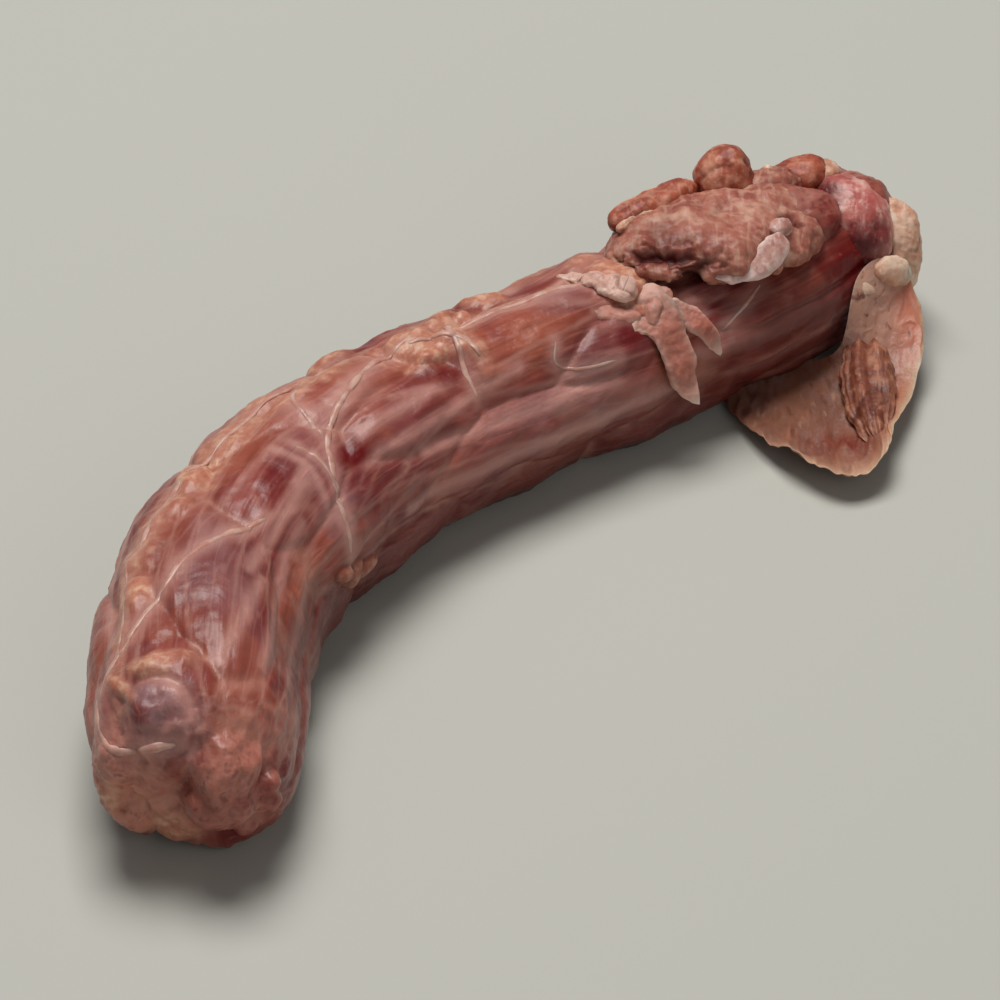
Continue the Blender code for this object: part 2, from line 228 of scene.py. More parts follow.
def on_neck(along, around, out):
    """Point over the plain tube, the direction ahead and the direction outwards there."""
    along, turn = np.asarray(along, float), np.radians(around)
    inside = in_body(along)
    middle, ahead, side = frame_at(inside)
    normal = outwards(side, turn)
    away = (girth(along) + out)[..., None]
    return middle + ahead * (along - inside)[..., None] + normal * away, ahead, normal


def straightened(along, around):
    """Place on the neck as if it were pulled straight: along, then girth times cos and sin."""
    away = girth(along)
    return np.stack([along, away * np.cos(around), away * np.sin(around)], -1)


print("The top of the plain tube at mid length:", on_neck([NECK_LENGTH / 2], [90.0], 0.0)[0][0].round(1))

# %% [markdown]
# ## Soft noise
# No two spots of meat are alike, so every surface below is roughened by smooth random fields.
# A gradient noise gives soft swells, worked out for all points at once. A call gives the width
# in millimetres and then a fixed seed, so the meat is the same each time.

# %% Soft noise
TABLE_SIZE = 1024
CELL_PRIMES, SEED_PRIME = (73856093, 19349663, 83492791), 7919
FROM_ORIGIN, SWELL_GAIN = 100.0, 1.7
SLOPES = np.random.default_rng(7).normal(size=(TABLE_SIZE, 3))
SLOPES /= np.linalg.norm(SLOPES, axis=1, keepdims=True)


def scrambled(cell, seed):
    """A fixed random number below the table's size for each lattice cell."""
    x, y, z = (cell[..., k] * prime for k, prime in enumerate(CELL_PRIMES))
    return ((x ^ y ^ z) + seed * SEED_PRIME) % TABLE_SIZE


def lattice(points, size):
    """Places in units of the size, away from the origin, and the cell of each."""
    place = points / size + FROM_ORIGIN
    return place, np.floor(place).astype(np.int64)


def swell(points, size, seed=0):
    """Gradient noise from about -1 to 1, whose swells are as wide as size."""
    place, cell = lattice(points, size)
    part = place - cell
    ease = part**3 * (part * (part * 6 - 15) + 10)
    total = np.zeros(points.shape[:-1])
    for corner in np.ndindex(2, 2, 2):
        slope = SLOPES[scrambled(cell + corner, seed)]
        weight = np.where(corner, ease, 1 - ease).prod(-1)
        total += ((part - corner) * slope).sum(-1) * weight
    return SWELL_GAIN * total


def swells(points, size, seed=0, layers=3):
    """Several swells on top of each other, each half as wide and half as high as the last."""
    return sum(swell(points, size / 2**k, seed + k) / 2**k for k in range(layers))


print("Each cell of the lattice has one of", TABLE_SIZE, "slopes")

# %% [markdown]
# ## Pebbly noise
# Fat and cut meat are grainy. A cell noise gives pebbles: it measures how far a point is from
# the nearest of many scattered seeds. A picture of grains would smear on a round form.

# %% Pebbly noise
PEBBLE_REACH = 0.72
JITTER = np.random.default_rng(11).uniform(0.1, 0.9, size=(TABLE_SIZE, 3))


def pebbles(points, size, seed=0):
    """1 on top of each pebble and 0 in the creases: 1 - distance squared / reach, at least 0."""
    place, cell = lattice(points, size)
    nearest = np.full(points.shape[:-1], np.inf)
    for neighbour in np.ndindex(3, 3, 3):
        there = cell + np.array(neighbour) - 1
        apart = ((there + JITTER[scrambled(there, seed)] - place) ** 2).sum(-1)
        nearest = np.minimum(nearest, apart)
    return 1 - np.minimum(nearest / PEBBLE_REACH, 1.0)


SAMPLE = np.random.default_rng(1).uniform(0, 50, (4000, 3))
print("Swells run from", swell(SAMPLE, 5).min().round(2), "to", swell(SAMPLE, 5).max().round(2))
print("Pebbles are", pebbles(SAMPLE, 5).mean().round(2), "high on average")

# %% [markdown]
# ## Muscle bundles
# Under its thin film the neck is a plait of short muscles, and each bulges between the others.
# Each bundle is a low, long dome: height times (1 minus distance squared) in its own frame. The
# highest dome wins at each point, so a crease forms wherever two bundles meet. Those that show
# from above are placed one by one, and the rest stand in staggered rows. A row of the table
# gives the place along and around, the half length and width, the skew and the height.

# %% Bundles
BUNDLES = (
    (7, 120, 8.5, 6.3, 0, 0.9), (4.2, 117, 4.6, 4.8, 0, 1.6), (24, 86, 13, 7, 14, 1.2),
    (46, 70, 11, 6.2, -10, 1.1), (57, 24, 13, 6.2, 4, 1.1), (66, 52, 12.5, 5.4, 6, 1.1),
    (62, 98, 11, 5.2, 0, 1), (89, 72, 13.5, 6.4, 5, 1.3), (97, 40, 7.5, 5, 0, 1.2),
    (88, 6, 26, 4.6, 0, 1), (122, 8, 20, 3.6, 0, 1.1), (127, -22, 20, 4, 0, 1),
    (124, 33, 15, 3.6, 4, 0.9),
)
BACK_ROWS = (135, 168, 201, 318)
BACK_BUNDLE = (13.5, 6.4, 1.1)
BACK_STEP, BACK_STAGGER, BACK_SKEW = 22.0, 9.0, 12.0
BUNDLE_FLOOR = -0.7
WOBBLE_SIZE, WOBBLE = 9.0, 0.9
CREASE_WIDTH = 0.22


def turned_frame(along, around, skew):
    """A point on the neck and its frame (lengthwise, crosswise, outwards), turned by skew."""
    point, ahead, normal = on_neck(along, around, 0.0)
    across = np.cross(normal, ahead)
    angle = np.radians(skew)
    lengthwise = np.cos(angle) * ahead + np.sin(angle) * across
    return point, np.stack([lengthwise, np.cross(normal, lengthwise), normal])


def back_bundles():
    """Staggered rows of bundles for the far side, skewed left and right in turn."""
    half_length, half_width, height = BACK_BUNDLE
    found = []
    for row, around in enumerate(BACK_ROWS):
        first = ROUNDED_CAP + BACK_STAGGER * row
        while first > ROUNDED_CAP + BACK_STEP:
            first -= BACK_STEP
        for step, along in enumerate(np.arange(first, NECK_LENGTH - CUT_CAP, BACK_STEP)):
            skew = BACK_SKEW * (1 if (row + step) % 2 else -1)
            found.append((along, around, half_length, half_width, skew, height))
    return found


ALL_BUNDLES = (*BUNDLES, *back_bundles())


def bundle_relief(points):
    """Height of the highest dome, and a mask that is 1 in the crease beside the next one."""
    wobble = np.stack([swell(points, WOBBLE_SIZE, 20 + k) for k in range(3)], -1)
    warped = points + WOBBLE * wobble
    best = np.full(points.shape[:-1], BUNDLE_FLOOR)
    second = best.copy()
    for along, around, half_length, half_width, skew, height in ALL_BUNDLES:
        centre, axes = turned_frame(along, around, skew)
        local = (warped - centre) @ axes.T / (half_length, half_width, 1.5 * half_width)
        dome = height * (1 - (local**2).sum(-1))
        second = np.maximum(second, np.minimum(best, dome))
        best = np.maximum(best, dome)
    crease = np.exp(-(((best - second) / CREASE_WIDTH) ** 2))
    return best, crease


print(len(ALL_BUNDLES), "muscle bundles")

# %% [markdown]
# ## Lumps of fat and meat
# Fat sits on the neck in soft lumps, strung along the outer edge of the bend and at the ends.
# Each is an ellipsoid half sunk in the tube. The ones that show are placed, and the rest come
# from a fixed seed or from a formula. A row of the table gives the place along and around, how
# far out, the three half sizes and the skew.

# %% Lumps
END_LUMPS = (
    (2.4, 44, -3.8, 5, 3.8, 3.9, 0), (1.4, -8, -4.2, 4, 3.4, 4.2, 0), (6, 8, -4.6, 3.2, 3.2, 3.4, 0),
    (5.4, 204, -2.7, 4.4, 5, 2.8, 0), (5, 160, -2.2, 4.4, 5, 2.8, 0),
)
FAT_LUMPS = (
    (9.6, 109, -0.9, 2.2, 3.8, 1.4, 0), (8.4, 131, -0.2, 3.4, 1, 0.9, 24),
    (75, 100, -0.7, 3.4, 2.4, 2, 10), (78.5, 86, -0.8, 2.2, 2.6, 1.8, 0),
    (80.5, 70, -0.9, 1.6, 3.4, 1.6, -20), (102.4, 90, -1.3, 3.8, 3.8, 2, -30),
    (46, -2, -0.4, 2, 1, 1.2, 30), (43.4, 4, -0.5, 1.6, 0.9, 1, -20),
    (49.6, -6, -0.5, 2.2, 1.2, 1.2, 0),
)
FAT_RIDGE = (22, 108, 6.6, 126)
RIDGE_SWAY, RIDGE_SIZE, RIDGE_SIZE_SWING, RIDGE_SKEW = 9.0, 1.9, 0.4, 25.0
MEAT_MOUNDS = (
    (114, 112, -0.8, 9, 5.8, 4.4, -24), (125, 88, -1.2, 9, 5.4, 3.8, -22),
    (119, 138, -0.4, 8, 5, 3.4, 0), (138, 66, -2.4, 3.6, 3.8, 4, 0),
)


def ridge_lumps():
    """An uneven row of fat along the outer edge: places and sizes swing as sines of the count."""
    first, last, step, middle = FAT_RIDGE
    found = []
    for i, along in enumerate(np.arange(first, last, step)):
        around = middle + RIDGE_SWAY * np.sin(1.9 * i)
        size = RIDGE_SIZE + RIDGE_SIZE_SWING * np.sin(2.7 * i + 1.0)
        skew = RIDGE_SKEW * np.sin(2.3 * i)
        found.append((along, around, -1.0, 1.8 * size, size, 0.9 * size, skew))
    return found


def small_lumps(count, seed, along, around, size, out):
    """Seeded small lumps in a window of the neck, each a little longer than wide."""
    random = np.random.default_rng(seed)
    found = []
    for _ in range(count):
        width = random.uniform(*size)
        place = (random.uniform(*along), random.uniform(*around), random.uniform(*out))
        found.append((*place, width * random.uniform(1.0, 1.7), width, width, random.uniform(-60, 60)))
    return found


FAT_BITS = (
    *FAT_LUMPS,
    *ridge_lumps(),
    *small_lumps(16, 4, (72, 84), (66, 112), (0.6, 1.3), (-0.5, -0.1)),
)
MEAT_BITS = (
    *END_LUMPS,
    *small_lumps(6, 3, (0.8, 4), (-40, 20), (1.0, 1.6), (-1.3, -0.9)),
)
print(len(FAT_BITS), "lumps of fat and", len(MEAT_BITS), "lumps of meat")

# %% [markdown]
# ## Where a ray leaves a lump
# To grow the lumps into the tube, each ray asks how far every lump reaches. A quadratic equation
# says where it leaves an ellipsoid, and a smooth maximum melts that reach into the tube's own, as
# fat melts into flesh. Boolean unions would leave sharp seams.

# %% Where a ray leaves a lump


def smooth_max(a, b, width):
    """The larger of a and b, plus (width - gap)^2 / (4 width) where their gap is below width."""
    return np.maximum(a, b) + np.maximum(width - np.abs(a - b), 0) ** 2 / (4 * width)


def ellipsoid_reach(start, ray, lump):
    """Distance at which each ray leaves an ellipsoid: the far root of its quadratic, or 0."""
    along, around, out, half_length, half_width, half_height, skew = lump
    point, axes = turned_frame(along, around, skew)
    size = np.array([half_length, half_width, half_height])
    local_start = (start - point - out * axes[2]) @ axes.T / size
    local_ray = ray @ axes.T / size
    a = (local_ray**2).sum(-1)
    b = (local_ray * local_start).sum(-1)
    c = (local_start**2).sum(-1) - 1
    inside = b**2 - a * c
    far = (-b + np.sqrt(np.maximum(inside, 0))) / a
    return np.where(inside > 0, np.maximum(far, 0), 0.0)


def melted(start, ray, reach, lumps, width):
    """The reach with each of the lumps melted into it."""
    for lump in lumps:
        reach = smooth_max(reach, ellipsoid_reach(start, ray, lump), width)
    return reach


print("Two equal reaches of 5 mm, melted over 1.4 mm, give", smooth_max(5.0, 5.0, 1.4), "mm")

# %% [markdown]
# ## Patches of film, fat, blood and painted shade
# Flesh changes from place to place: thin bluish film, purple or rusty muscle, cream fat and blood
# from cut vessels. The dark patches are painted shade, on the underside and under overhangs. A
# photo texture could show that, but only from one side. Here each patch is placed like a bundle,
# and a last number says how strong it is.

# %% Patches
PATCHES = {
    "film": (
        (4.4, 110, 3.4, 3.2, 0, 0.9), (2.2, 92, 3.4, 2, 0, 0.6), (20, 74, 6, 3, 20, 0.6),
        (30, 92, 7, 1.8, 30, 0.5), (48, 34, 4, 3, -20, 0.8), (60, 84, 9, 2, 0, 0.4),
        (86, 24, 12, 2.2, 0, 0.6), (92, 2, 12, 1.6, 0, 0.8), (96, 88, 6, 2.6, 0, 0.6),
        (112, 54, 5, 2.6, 0, 0.7), (48, 46, 3, 4, 0, 0.7), (60, 150, 24, 5, 0, 0.6),
        (90, 190, 20, 5, 0, 0.6), (30, 200, 16, 6, 0, 0.6), (120, 160, 14, 5, 0, 0.6),
    ),
    "purple": (
        (4.2, 118, 5, 4.8, 0, 1), (25, 84, 9, 5.4, 0, 0.8), (49, 74, 5, 3, 0, 0.5),
        (94, 46, 5, 3.4, 0, 0.8), (99, 40, 3.5, 3, 0, 0.9), (94.5, 86, 4, 2.6, 0, 0.7),
        (60, 44, 10, 4, 0, 0.6), (108, 76, 3, 2.6, 0, 0.9), (6, 10, 3.4, 3.4, 0, 0.8),
        (40, 150, 12, 5, 0, 0.6), (80, 160, 12, 5, 0, 0.6),
    ),
    "rust": (
        (86, 70, 9, 4.6, 0, 1), (66, 92, 8, 3, 0, 0.9), (47, 98, 6, 3, 0, 0.8), (30, 108, 9, 3, 0, 0.6),
        (33, 30, 8, 3, 0, 0.6), (105, 16, 3.6, 5, 0, 0.8), (110, 180, 12, 5, 0, 0.7),
        (52, 190, 12, 5, 0, 0.6),
    ),
    "peach": (
        (1.6, 52, 2.6, 3.2, 0, 0.7), (0.9, -30, 1.8, 2.6, 0, 0.8), (2.2, 172, 3.4, 5, 0, 1),
        (1.6, 215, 3, 5, 0, 1), (1, 262, 2.6, 4, 0, 0.9), (7, 165, 4, 3, 0, 0.6),
    ),
    "cream": (
        (9.2, 110, 1.6, 3.4, 0, 1), (8.2, 131, 2.8, 0.9, 30, 1), (14, 132, 7, 1.4, 0, 0.5),
        (30, 126, 12, 1.8, -4, 0.6), (45, 118, 10, 2.4, 0, 0.9), (62, 110, 9, 1.6, 0, 0.8),
        (74.6, 92, 3.6, 3, 0, 1), (82, 104, 5, 2, 0, 0.8), (92, 100, 9, 1.2, 0, 0.7),
        (102, 88, 3, 3.4, 0, 1), (102.5, 70, 1.8, 4, 20, 1), (1.3, 244, 1, 3, 0, 1),
        (2.6, 186, 1, 2, 0, 0.8), (90, 140, 12, 2, 0, 0.7), (66, 215, 16, 2.4, 0, 0.6),
        (34, 170, 10, 2, 10, 0.6), (112, 205, 10, 2.4, -8, 0.6),
    ),
    "blood": (
        (55.4, 53, 2.6, 1.7, 0, 1), (42.4, 73, 3.2, 1.6, 10, 0.7), (75.6, 66, 2.6, 2, 0, 0.9),
        (99.6, 44, 2.4, 1.2, 0, 0.8), (130.4, 30, 5, 3.8, 0, 1), (134.5, 84, 2.6, 2.6, 0, 0.9),
        (123, 56, 4, 1.6, 0, 0.7), (1.8, -58, 2.4, 2.6, 0, 0.9), (70, 170, 3, 1.6, 0, 0.6),
        (30, 160, 2.6, 1.6, 0, 0.6), (104, 150, 3.4, 1.8, 0, 0.6),
    ),
    # Painted shade: patches on the underside, under the crown and under the cream tab at the rounded end.
    "dark": (
        (24, 16, 12, 3.6, -10, 0.6), (36, -14, 18, 4, 0, 0.6), (121, 12, 14, 2.8, 0, 0.8),
        (118, 34, 8, 2.4, 8, 0.6), (116, -16, 16, 3, 0, 0.6), (130, -16, 8, 3.6, 0, 0.9),
        (112, 70, 6, 1.6, 0, 0.8), (7.8, 120, 0.5, 2, 0, 0.3), (16, 14, 7, 3.4, 0, 0.6),
    ),
}
print(sum(map(len, PATCHES.values())), "patches of", len(PATCHES), "kinds")

# %% [markdown]
# ## How a patch fades
# A patch of film or fat has no sharp line round it. Each is a soft ellipse whose strength falls
# off from the middle, and noise frays its rim. Painting by weights would do the same by hand.

# %% How a patch fades
PATCH_DEPTH, FRAYING = 8.0, 0.7


def patched(points, patches, fray):
    """The strongest of the patches: strength times e^-(frayed distance cubed)."""
    cover = np.zeros(points.shape[:-1])
    for along, around, half_length, half_width, skew, strength in patches:
        centre, axes = turned_frame(along, around, skew)
        local = (points - centre) @ axes.T / (half_length, half_width, PATCH_DEPTH)
        apart = (local**2).sum(-1) * (1 + FRAYING * fray)
        cover = np.maximum(cover, strength * np.exp(-np.maximum(apart, 0) ** 1.5))
    return cover


TOP_POINT = on_neck([60.0], [90.0], 0.0)[0]
print("Cream fat on top at mid length:", patched(TOP_POINT, PATCHES["cream"], 0.0).round(2))

# %% [markdown]
# ## The forms of the neck
# Now the bundles, creases and lumps are added up along each ray. The same function gives the
# masks that tell the material where each kind of tissue is, because fat has to look like fat
# exactly where a lump of it stands out.

# %% Forms along the rays
CREASE_DEPTH = 0.25
FAT_BLEND, MEAT_BLEND, MOUND_BLEND = 1.4, 1.2, 1.4
FAT_SHOWS_AT, FAT_SHOWS_OVER, MEAT_SHOWS_AT, MEAT_SHOWS_OVER = 0.1, 0.5, 0.2, 0.6


def formed(start, ray, reach):
    """Plain reach plus domes minus creases, with the lumps melted in, and the masks."""
    plain = start + ray * reach[..., None]
    fray = swells(plain, 3.0, 70, 3)
    masks = {label: patched(plain, patches, fray) for label, patches in PATCHES.items()}
    domes, masks["crease"] = bundle_relief(plain)
    bare = reach + domes - CREASE_DEPTH * masks["crease"] - CREASE_DEPTH * masks["dark"]
    fatty = melted(start, ray, bare, FAT_BITS, FAT_BLEND)
    risen = np.clip((fatty - bare - FAT_SHOWS_AT) / FAT_SHOWS_OVER, 0, 1)
    masks["fat"] = np.maximum(risen, masks["cream"])
    meaty = melted(start, ray, fatty, MEAT_BITS, MEAT_BLEND)
    meaty = melted(start, ray, meaty, MEAT_MOUNDS, MOUND_BLEND)
    masks["meat"] = np.clip((meaty - fatty - MEAT_SHOWS_AT) / MEAT_SHOWS_OVER, 0, 1)
    return meaty, masks


print("With its forms, the coarse grid reaches", formed(*COARSE_GRID[:3])[0].max().round(1), "mm")

# %% [markdown]
# ## The skin of the neck, finely
# On the forms come the fine things: the film of fascia wrinkles in long low folds, fibres show
# through as faint ridges along the neck, and fat and cut meat are grainy. The same function
# serves the cords and scraps below, so that they lie on the flesh and don't float.

# %% Relief along the rays
SWELL_HEIGHT, RIPPLE_HEIGHT = 0.35, 0.10
RAGGED_LENGTH, RAGGED_HEIGHT = 9, 0.7
FOLD_HEIGHT, FIBRE_HEIGHT = 0.16, 0.08
FAT_RISE, FAT_GRAIN, MEAT_GRAIN = 0.25, 0.3, 0.35


def fleshed(start, ray, reach, along, around):
    """Reach of the forms plus height times each swell, fold, fibre and grain."""
    reach, masks = formed(start, ray, reach)
    straight = straightened(along, around)
    skin = start + ray * reach[..., None]
    reach = reach + SWELL_HEIGHT * swells(skin, 7.0, 60, 2) + RIPPLE_HEIGHT * swells(skin, 1.6, 50, 2)
    ragged = np.clip(1 - along / RAGGED_LENGTH, 0, 1) * swells(skin, 3.2, 55, 3)
    folds = 1 - np.abs(swell(straight * (0.3, 1, 1), 2.6, 31))
    fibres = swell(straight * (0.12, 1, 1), 0.9, 40)
    grains = pebbles(straight * (0.4, 1, 1), 1.8, 5) + 0.5 * pebbles(skin, 0.9, 6) - 0.7
    reach = reach + FOLD_HEIGHT * (folds**4 - 0.3) + FIBRE_HEIGHT * fibres + RAGGED_HEIGHT * ragged
    reach = reach + masks["fat"] * (FAT_RISE + FAT_GRAIN * grains) + MEAT_GRAIN * masks["meat"] * grains
    return reach, masks, straight


def settled(points):
    """Nothing reaches below the surface that the neck lies on."""
    points[..., 2] = np.maximum(points[..., 2], 0.0)
    return points


def flesh_point(along, around, out=0.0):
    """Points on the real surface at places along and around, raised by out."""
    along, around = np.asarray(along, float), np.asarray(around, float)
    middle, _, _ = frame_at(in_body(along))
    plain, ahead, _ = on_neck(along, around, 0.0)
    ray = plain - middle
    reach = np.linalg.norm(ray, axis=-1)
    ray = ray / reach[..., None]
    reach = fleshed(middle, ray, reach, along, np.radians(around))[0]
    return settled(middle + ray * (reach + out)[..., None]), ahead, ray


TOP_OF_BEND = flesh_point([60.0], [90.0])[0][0]
print("The top of the neck at mid length is", TOP_OF_BEND[2].round(1), "mm high")

# %% [markdown]
# ## From a grid of points to a mesh
# A closed form is a stack of rings whose first and last rings shrink to a point. The faces are
# all squares but for two fans at the poles. The whole face list is made by adding shifted
# copies of one index grid.

# %% Faces of a grid


def closed_faces(count, around, first=0):
    """Quads between rings, and triangles that close the first and the last ring."""
    ring = np.arange(around)
    after = np.roll(ring, -1)
    low = first + 1 + np.arange(count - 1)[:, None] * around
    sides = np.stack([low + ring, low + around + ring, low + around + after, low + after], -1)
    last = first + 1 + (count - 1) * around
    start_fan = np.stack([np.full(around, first), first + 1 + ring, first + 1 + after], -1)
    end_fan = np.stack([np.full(around, last + around), last + after, last + ring], -1)
    return [*sides.reshape(-1, 4).tolist(), *start_fan.tolist(), *end_fan.tolist()]


def ring_vertices(grid):
    """A grid's values in vertex order: the mean of the first ring, the rings, the last mean."""
    flat = grid[1:-1].reshape(-1, *grid.shape[2:])
    return np.concatenate([grid[0].mean(0)[None], flat, grid[-1].mean(0)[None]])


print("A form of 3 rings of 8 points has", len(closed_faces(3, 8)), "faces")

# %% [markdown]
# ## Pieces
# Each piece is one mesh of closed forms, and it moves with the solid. Its masks are stored on
# the vertices, where a material can read them. Its volume is worked out from its faces, and
# where that comes out below zero, the faces are turned to look outwards.

# %% Pieces
MM = 1 / MM_PER_M
SHOWN = bpy.data.collections.new("chicken_neck_shown")
bpy.context.scene.collection.children.link(SHOWN)


def face_volume(mesh):
    """Signed volume: a sixth of the sum of corner a dot (b cross c) over all triangles."""
    mesh.calc_loop_triangles()
    corners = np.empty(len(mesh.loop_triangles) * 3, np.int32)
    mesh.loop_triangles.foreach_get("vertices", corners)
    places = np.empty(len(mesh.vertices) * 3, np.float32)
    mesh.vertices.foreach_get("co", places)
    a, b, c = places.reshape(-1, 3)[corners.reshape(-1, 3)].transpose(1, 0, 2).astype(float)
    return float((a * np.cross(b, c)).sum() / 6)


def make_piece(name, grids, material, masks=()):
    """One mesh object from closed grids in mm, with one attribute for each mask. It rides the solid."""
    places, faces = [], []
    for grid in grids:
        faces += closed_faces(len(grid) - 2, grid.shape[1], sum(map(len, places)))
        places.append((ring_vertices(grid) - PLAN_MIDDLE) * MM)
    mesh = bpy.data.meshes.new(name)
    mesh.from_pydata(np.concatenate(places).tolist(), [], faces)
    for label in masks[0] if masks else ():
        values = np.concatenate([ring_vertices(mask[label]) for mask in masks])
        kind = "FLOAT_VECTOR" if values.ndim == 2 else "FLOAT"
        attribute = mesh.attributes.new(label, kind, "POINT")
        socket = "vector" if values.ndim == 2 else "value"
        attribute.data.foreach_set(socket, values.astype(np.float32).ravel())
    mesh.shade_smooth()
    mesh.materials.append(material)
    piece = bpy.data.objects.new(name, mesh)
    SHOWN.objects.link(piece)
    volume = face_volume(mesh)
    if volume < 0:
        mesh.flip_normals()
    print(name, len(mesh.polygons), "faces,", round(abs(volume) * 1e6, 2), "cubic cm")
    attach(piece, "root")
    return piece


print("The pieces go into", SHOWN.name)

# %% [markdown]
# ## Materials: helpers
# Paint programs show colours as sRGB hex values, but light adds up in linear ones, so one
# function converts them. One more adds a node, sets it and links it.

# %% Colours and nodes
NOISE, LINES = "ShaderNodeTexNoise", "ShaderNodeTexVoronoi"
VECTOR, NUMBER = "ShaderNodeVectorMath", "ShaderNodeMath"


def linear(hex_colour):
    """sRGB hex to linear RGBA: ((c + 0.055) / 1.055)^2.4, or c / 12.92 where dark."""
    part = np.array([int(hex_colour[i : i + 2], 16) for i in (1, 3, 5)]) / 255
    value = np.where(part <= 0.04045, part / 12.92, ((part + 0.055) / 1.055) ** 2.4)
    return (*value.tolist(), 1.0)


def add_node(tree, kind, inputs, **settings):
    """Adds a node with its settings. An input is a number, a hex colour or a socket to link."""
    node = tree.nodes.new(kind)
    for label, value in settings.items():
        setattr(node, label, value)
    for label, value in inputs.items():
        if isinstance(value, bpy.types.NodeSocket):
            tree.links.new(value, node.inputs[label])
        else:
            node.inputs[label].default_value = linear(value) if isinstance(value, str) else value
    return node


print("Mid grey #808080 is", round(linear("#808080")[0], 3), "in linear light")

# %% [markdown]
# ## Fields
# Flesh could be painted by hand, but then it would fit one view only. Here a material starts
# from fields. A field is a texture whose cells have a size in millimetres, either round about or
# drawn out along the neck. Lines are the edges between the cells of a Voronoi pattern, as
# fascia has. A row gives the texture, whether it follows the neck, the cell, the detail and
# how strongly it is bent.

# %% Fields
BEND_SCALE = 1.3


def made_fields(tree, table):
    """For each row: place divided by the cell, bent by noise, put through a texture."""
    place = add_node(tree, "ShaderNodeTexCoord", {}).outputs["Object"]
    place = add_node(tree, VECTOR, {0: place, 3: MM_PER_M}, operation="SCALE").outputs[0]
    straight = add_node(tree, "ShaderNodeAttribute", {}, attribute_name="straight").outputs["Vector"]
    fields = {"everywhere": 1.0}
    for name, (texture, lengthwise, cell, detail, bend) in table.items():
        start = straight if lengthwise else place
        counts = [1 / size for size in cell]
        spread = add_node(tree, VECTOR, {0: start, 1: counts}, operation="MULTIPLY").outputs[0]
        random = add_node(tree, NOISE, {"Vector": spread, "Scale": BEND_SCALE}).outputs["Color"]
        bent = {0: random, 1: (bend, bend, bend), 2: spread}
        bent = add_node(tree, VECTOR, bent, operation="MULTIPLY_ADD").outputs[0]
        node = add_node(tree, texture, {"Vector": bent, "Scale": 1.0, "Detail": detail})
        if texture == LINES:
            node.feature = "DISTANCE_TO_EDGE"
        fields[name] = next(socket for socket in node.outputs if socket.enabled)
    return fields


print("The noise that bends a field is", BEND_SCALE, "times as fine as its cells")

# %% [markdown]
# ## Layers and the wet surface
# Raw flesh is not one colour under a gloss. Each layer of colour shows by its mask, and where its
# field runs from low to high. Its row gives mask, field, low, high, strength and colour. Red
# light travels about a millimetre in flesh and blue a fifth of that, so light comes out redder,
# which is subsurface scattering. A coat of juice lies on top, with its own smoother shine.

# %% Layers and the wet surface
FLESH_DEPTH = (1.0, 0.36, 0.22)
LIGHT_SHARE, FLESH_IOR = 0.35, 1.37
JUICE_ROUGHNESS, JUICE_IOR = 0.2, 1.34
BUMP = {"Strength": 0.5, "Distance": 0.0002}


def layered(tree, fields, colour, layers):
    """Colours over a base, each by its field from low to high, times strength and mask."""
    for mask, field, low, high, strength, over in layers:
        amount = {0: fields[field], 1: low, 2: high, 4: strength}
        amount = add_node(tree, "ShaderNodeMapRange", amount, interpolation_type="SMOOTHSTEP").outputs[0]
        if mask:
            cover = add_node(tree, "ShaderNodeAttribute", {}, attribute_name=mask).outputs["Fac"]
            amount = add_node(tree, NUMBER, {0: amount, 1: cover}, operation="MULTIPLY").outputs[0]
        colour = {0: amount, 6: colour, 7: over}
        colour = add_node(tree, "ShaderNodeMix", colour, data_type="RGBA").outputs[2]
    return colour


def tissue(name, base, table, layers, bumps, depth=1.6, rough=0.42, coat=0.22):
    """Wet flesh: colour layers over a base, light under it, fine bumps, and a coat of juice."""
    material = bpy.data.materials.new(name)
    material.use_nodes = True
    tree = material.node_tree
    shader = tree.nodes["Principled BSDF"]
    fields = made_fields(tree, table)
    colour = layered(tree, fields, base, layers)
    height = 0.0
    for field, weight in bumps.items():
        step = {0: fields[field], 1: weight, 2: height}
        height = add_node(tree, NUMBER, step, operation="MULTIPLY_ADD").outputs[0]
    bump = add_node(tree, "ShaderNodeBump", {"Height": height, **BUMP})
    tree.links.new(colour, shader.inputs["Base Color"])
    tree.links.new(bump.outputs[0], shader.inputs["Normal"])
    shader.inputs["Roughness"].default_value = rough
    shader.inputs["Subsurface Weight"].default_value = LIGHT_SHARE
    shader.inputs["Subsurface Radius"].default_value = FLESH_DEPTH
    shader.inputs["Subsurface Scale"].default_value = depth * MM
    shader.inputs["IOR"].default_value = FLESH_IOR
    shader.inputs["Coat Weight"].default_value = coat
    shader.inputs["Coat Roughness"].default_value = JUICE_ROUGHNESS
    shader.inputs["Coat IOR"].default_value = JUICE_IOR
    print(name, "has", len(table), "fields and", len(layers), "layers")
    return material


# %% [markdown]
# ## Material: raw muscle under its fascia
# Neck meat is dark, close-grained muscle, moist, wrapped in a thin bluish-white film with
# paler strands in it. Real fibres are 0.1 mm thick, too fine to show from here, so they are
# drawn 0.5 mm thick and 7 mm long. The strands are about 5.5 and 2.2 mm apart.

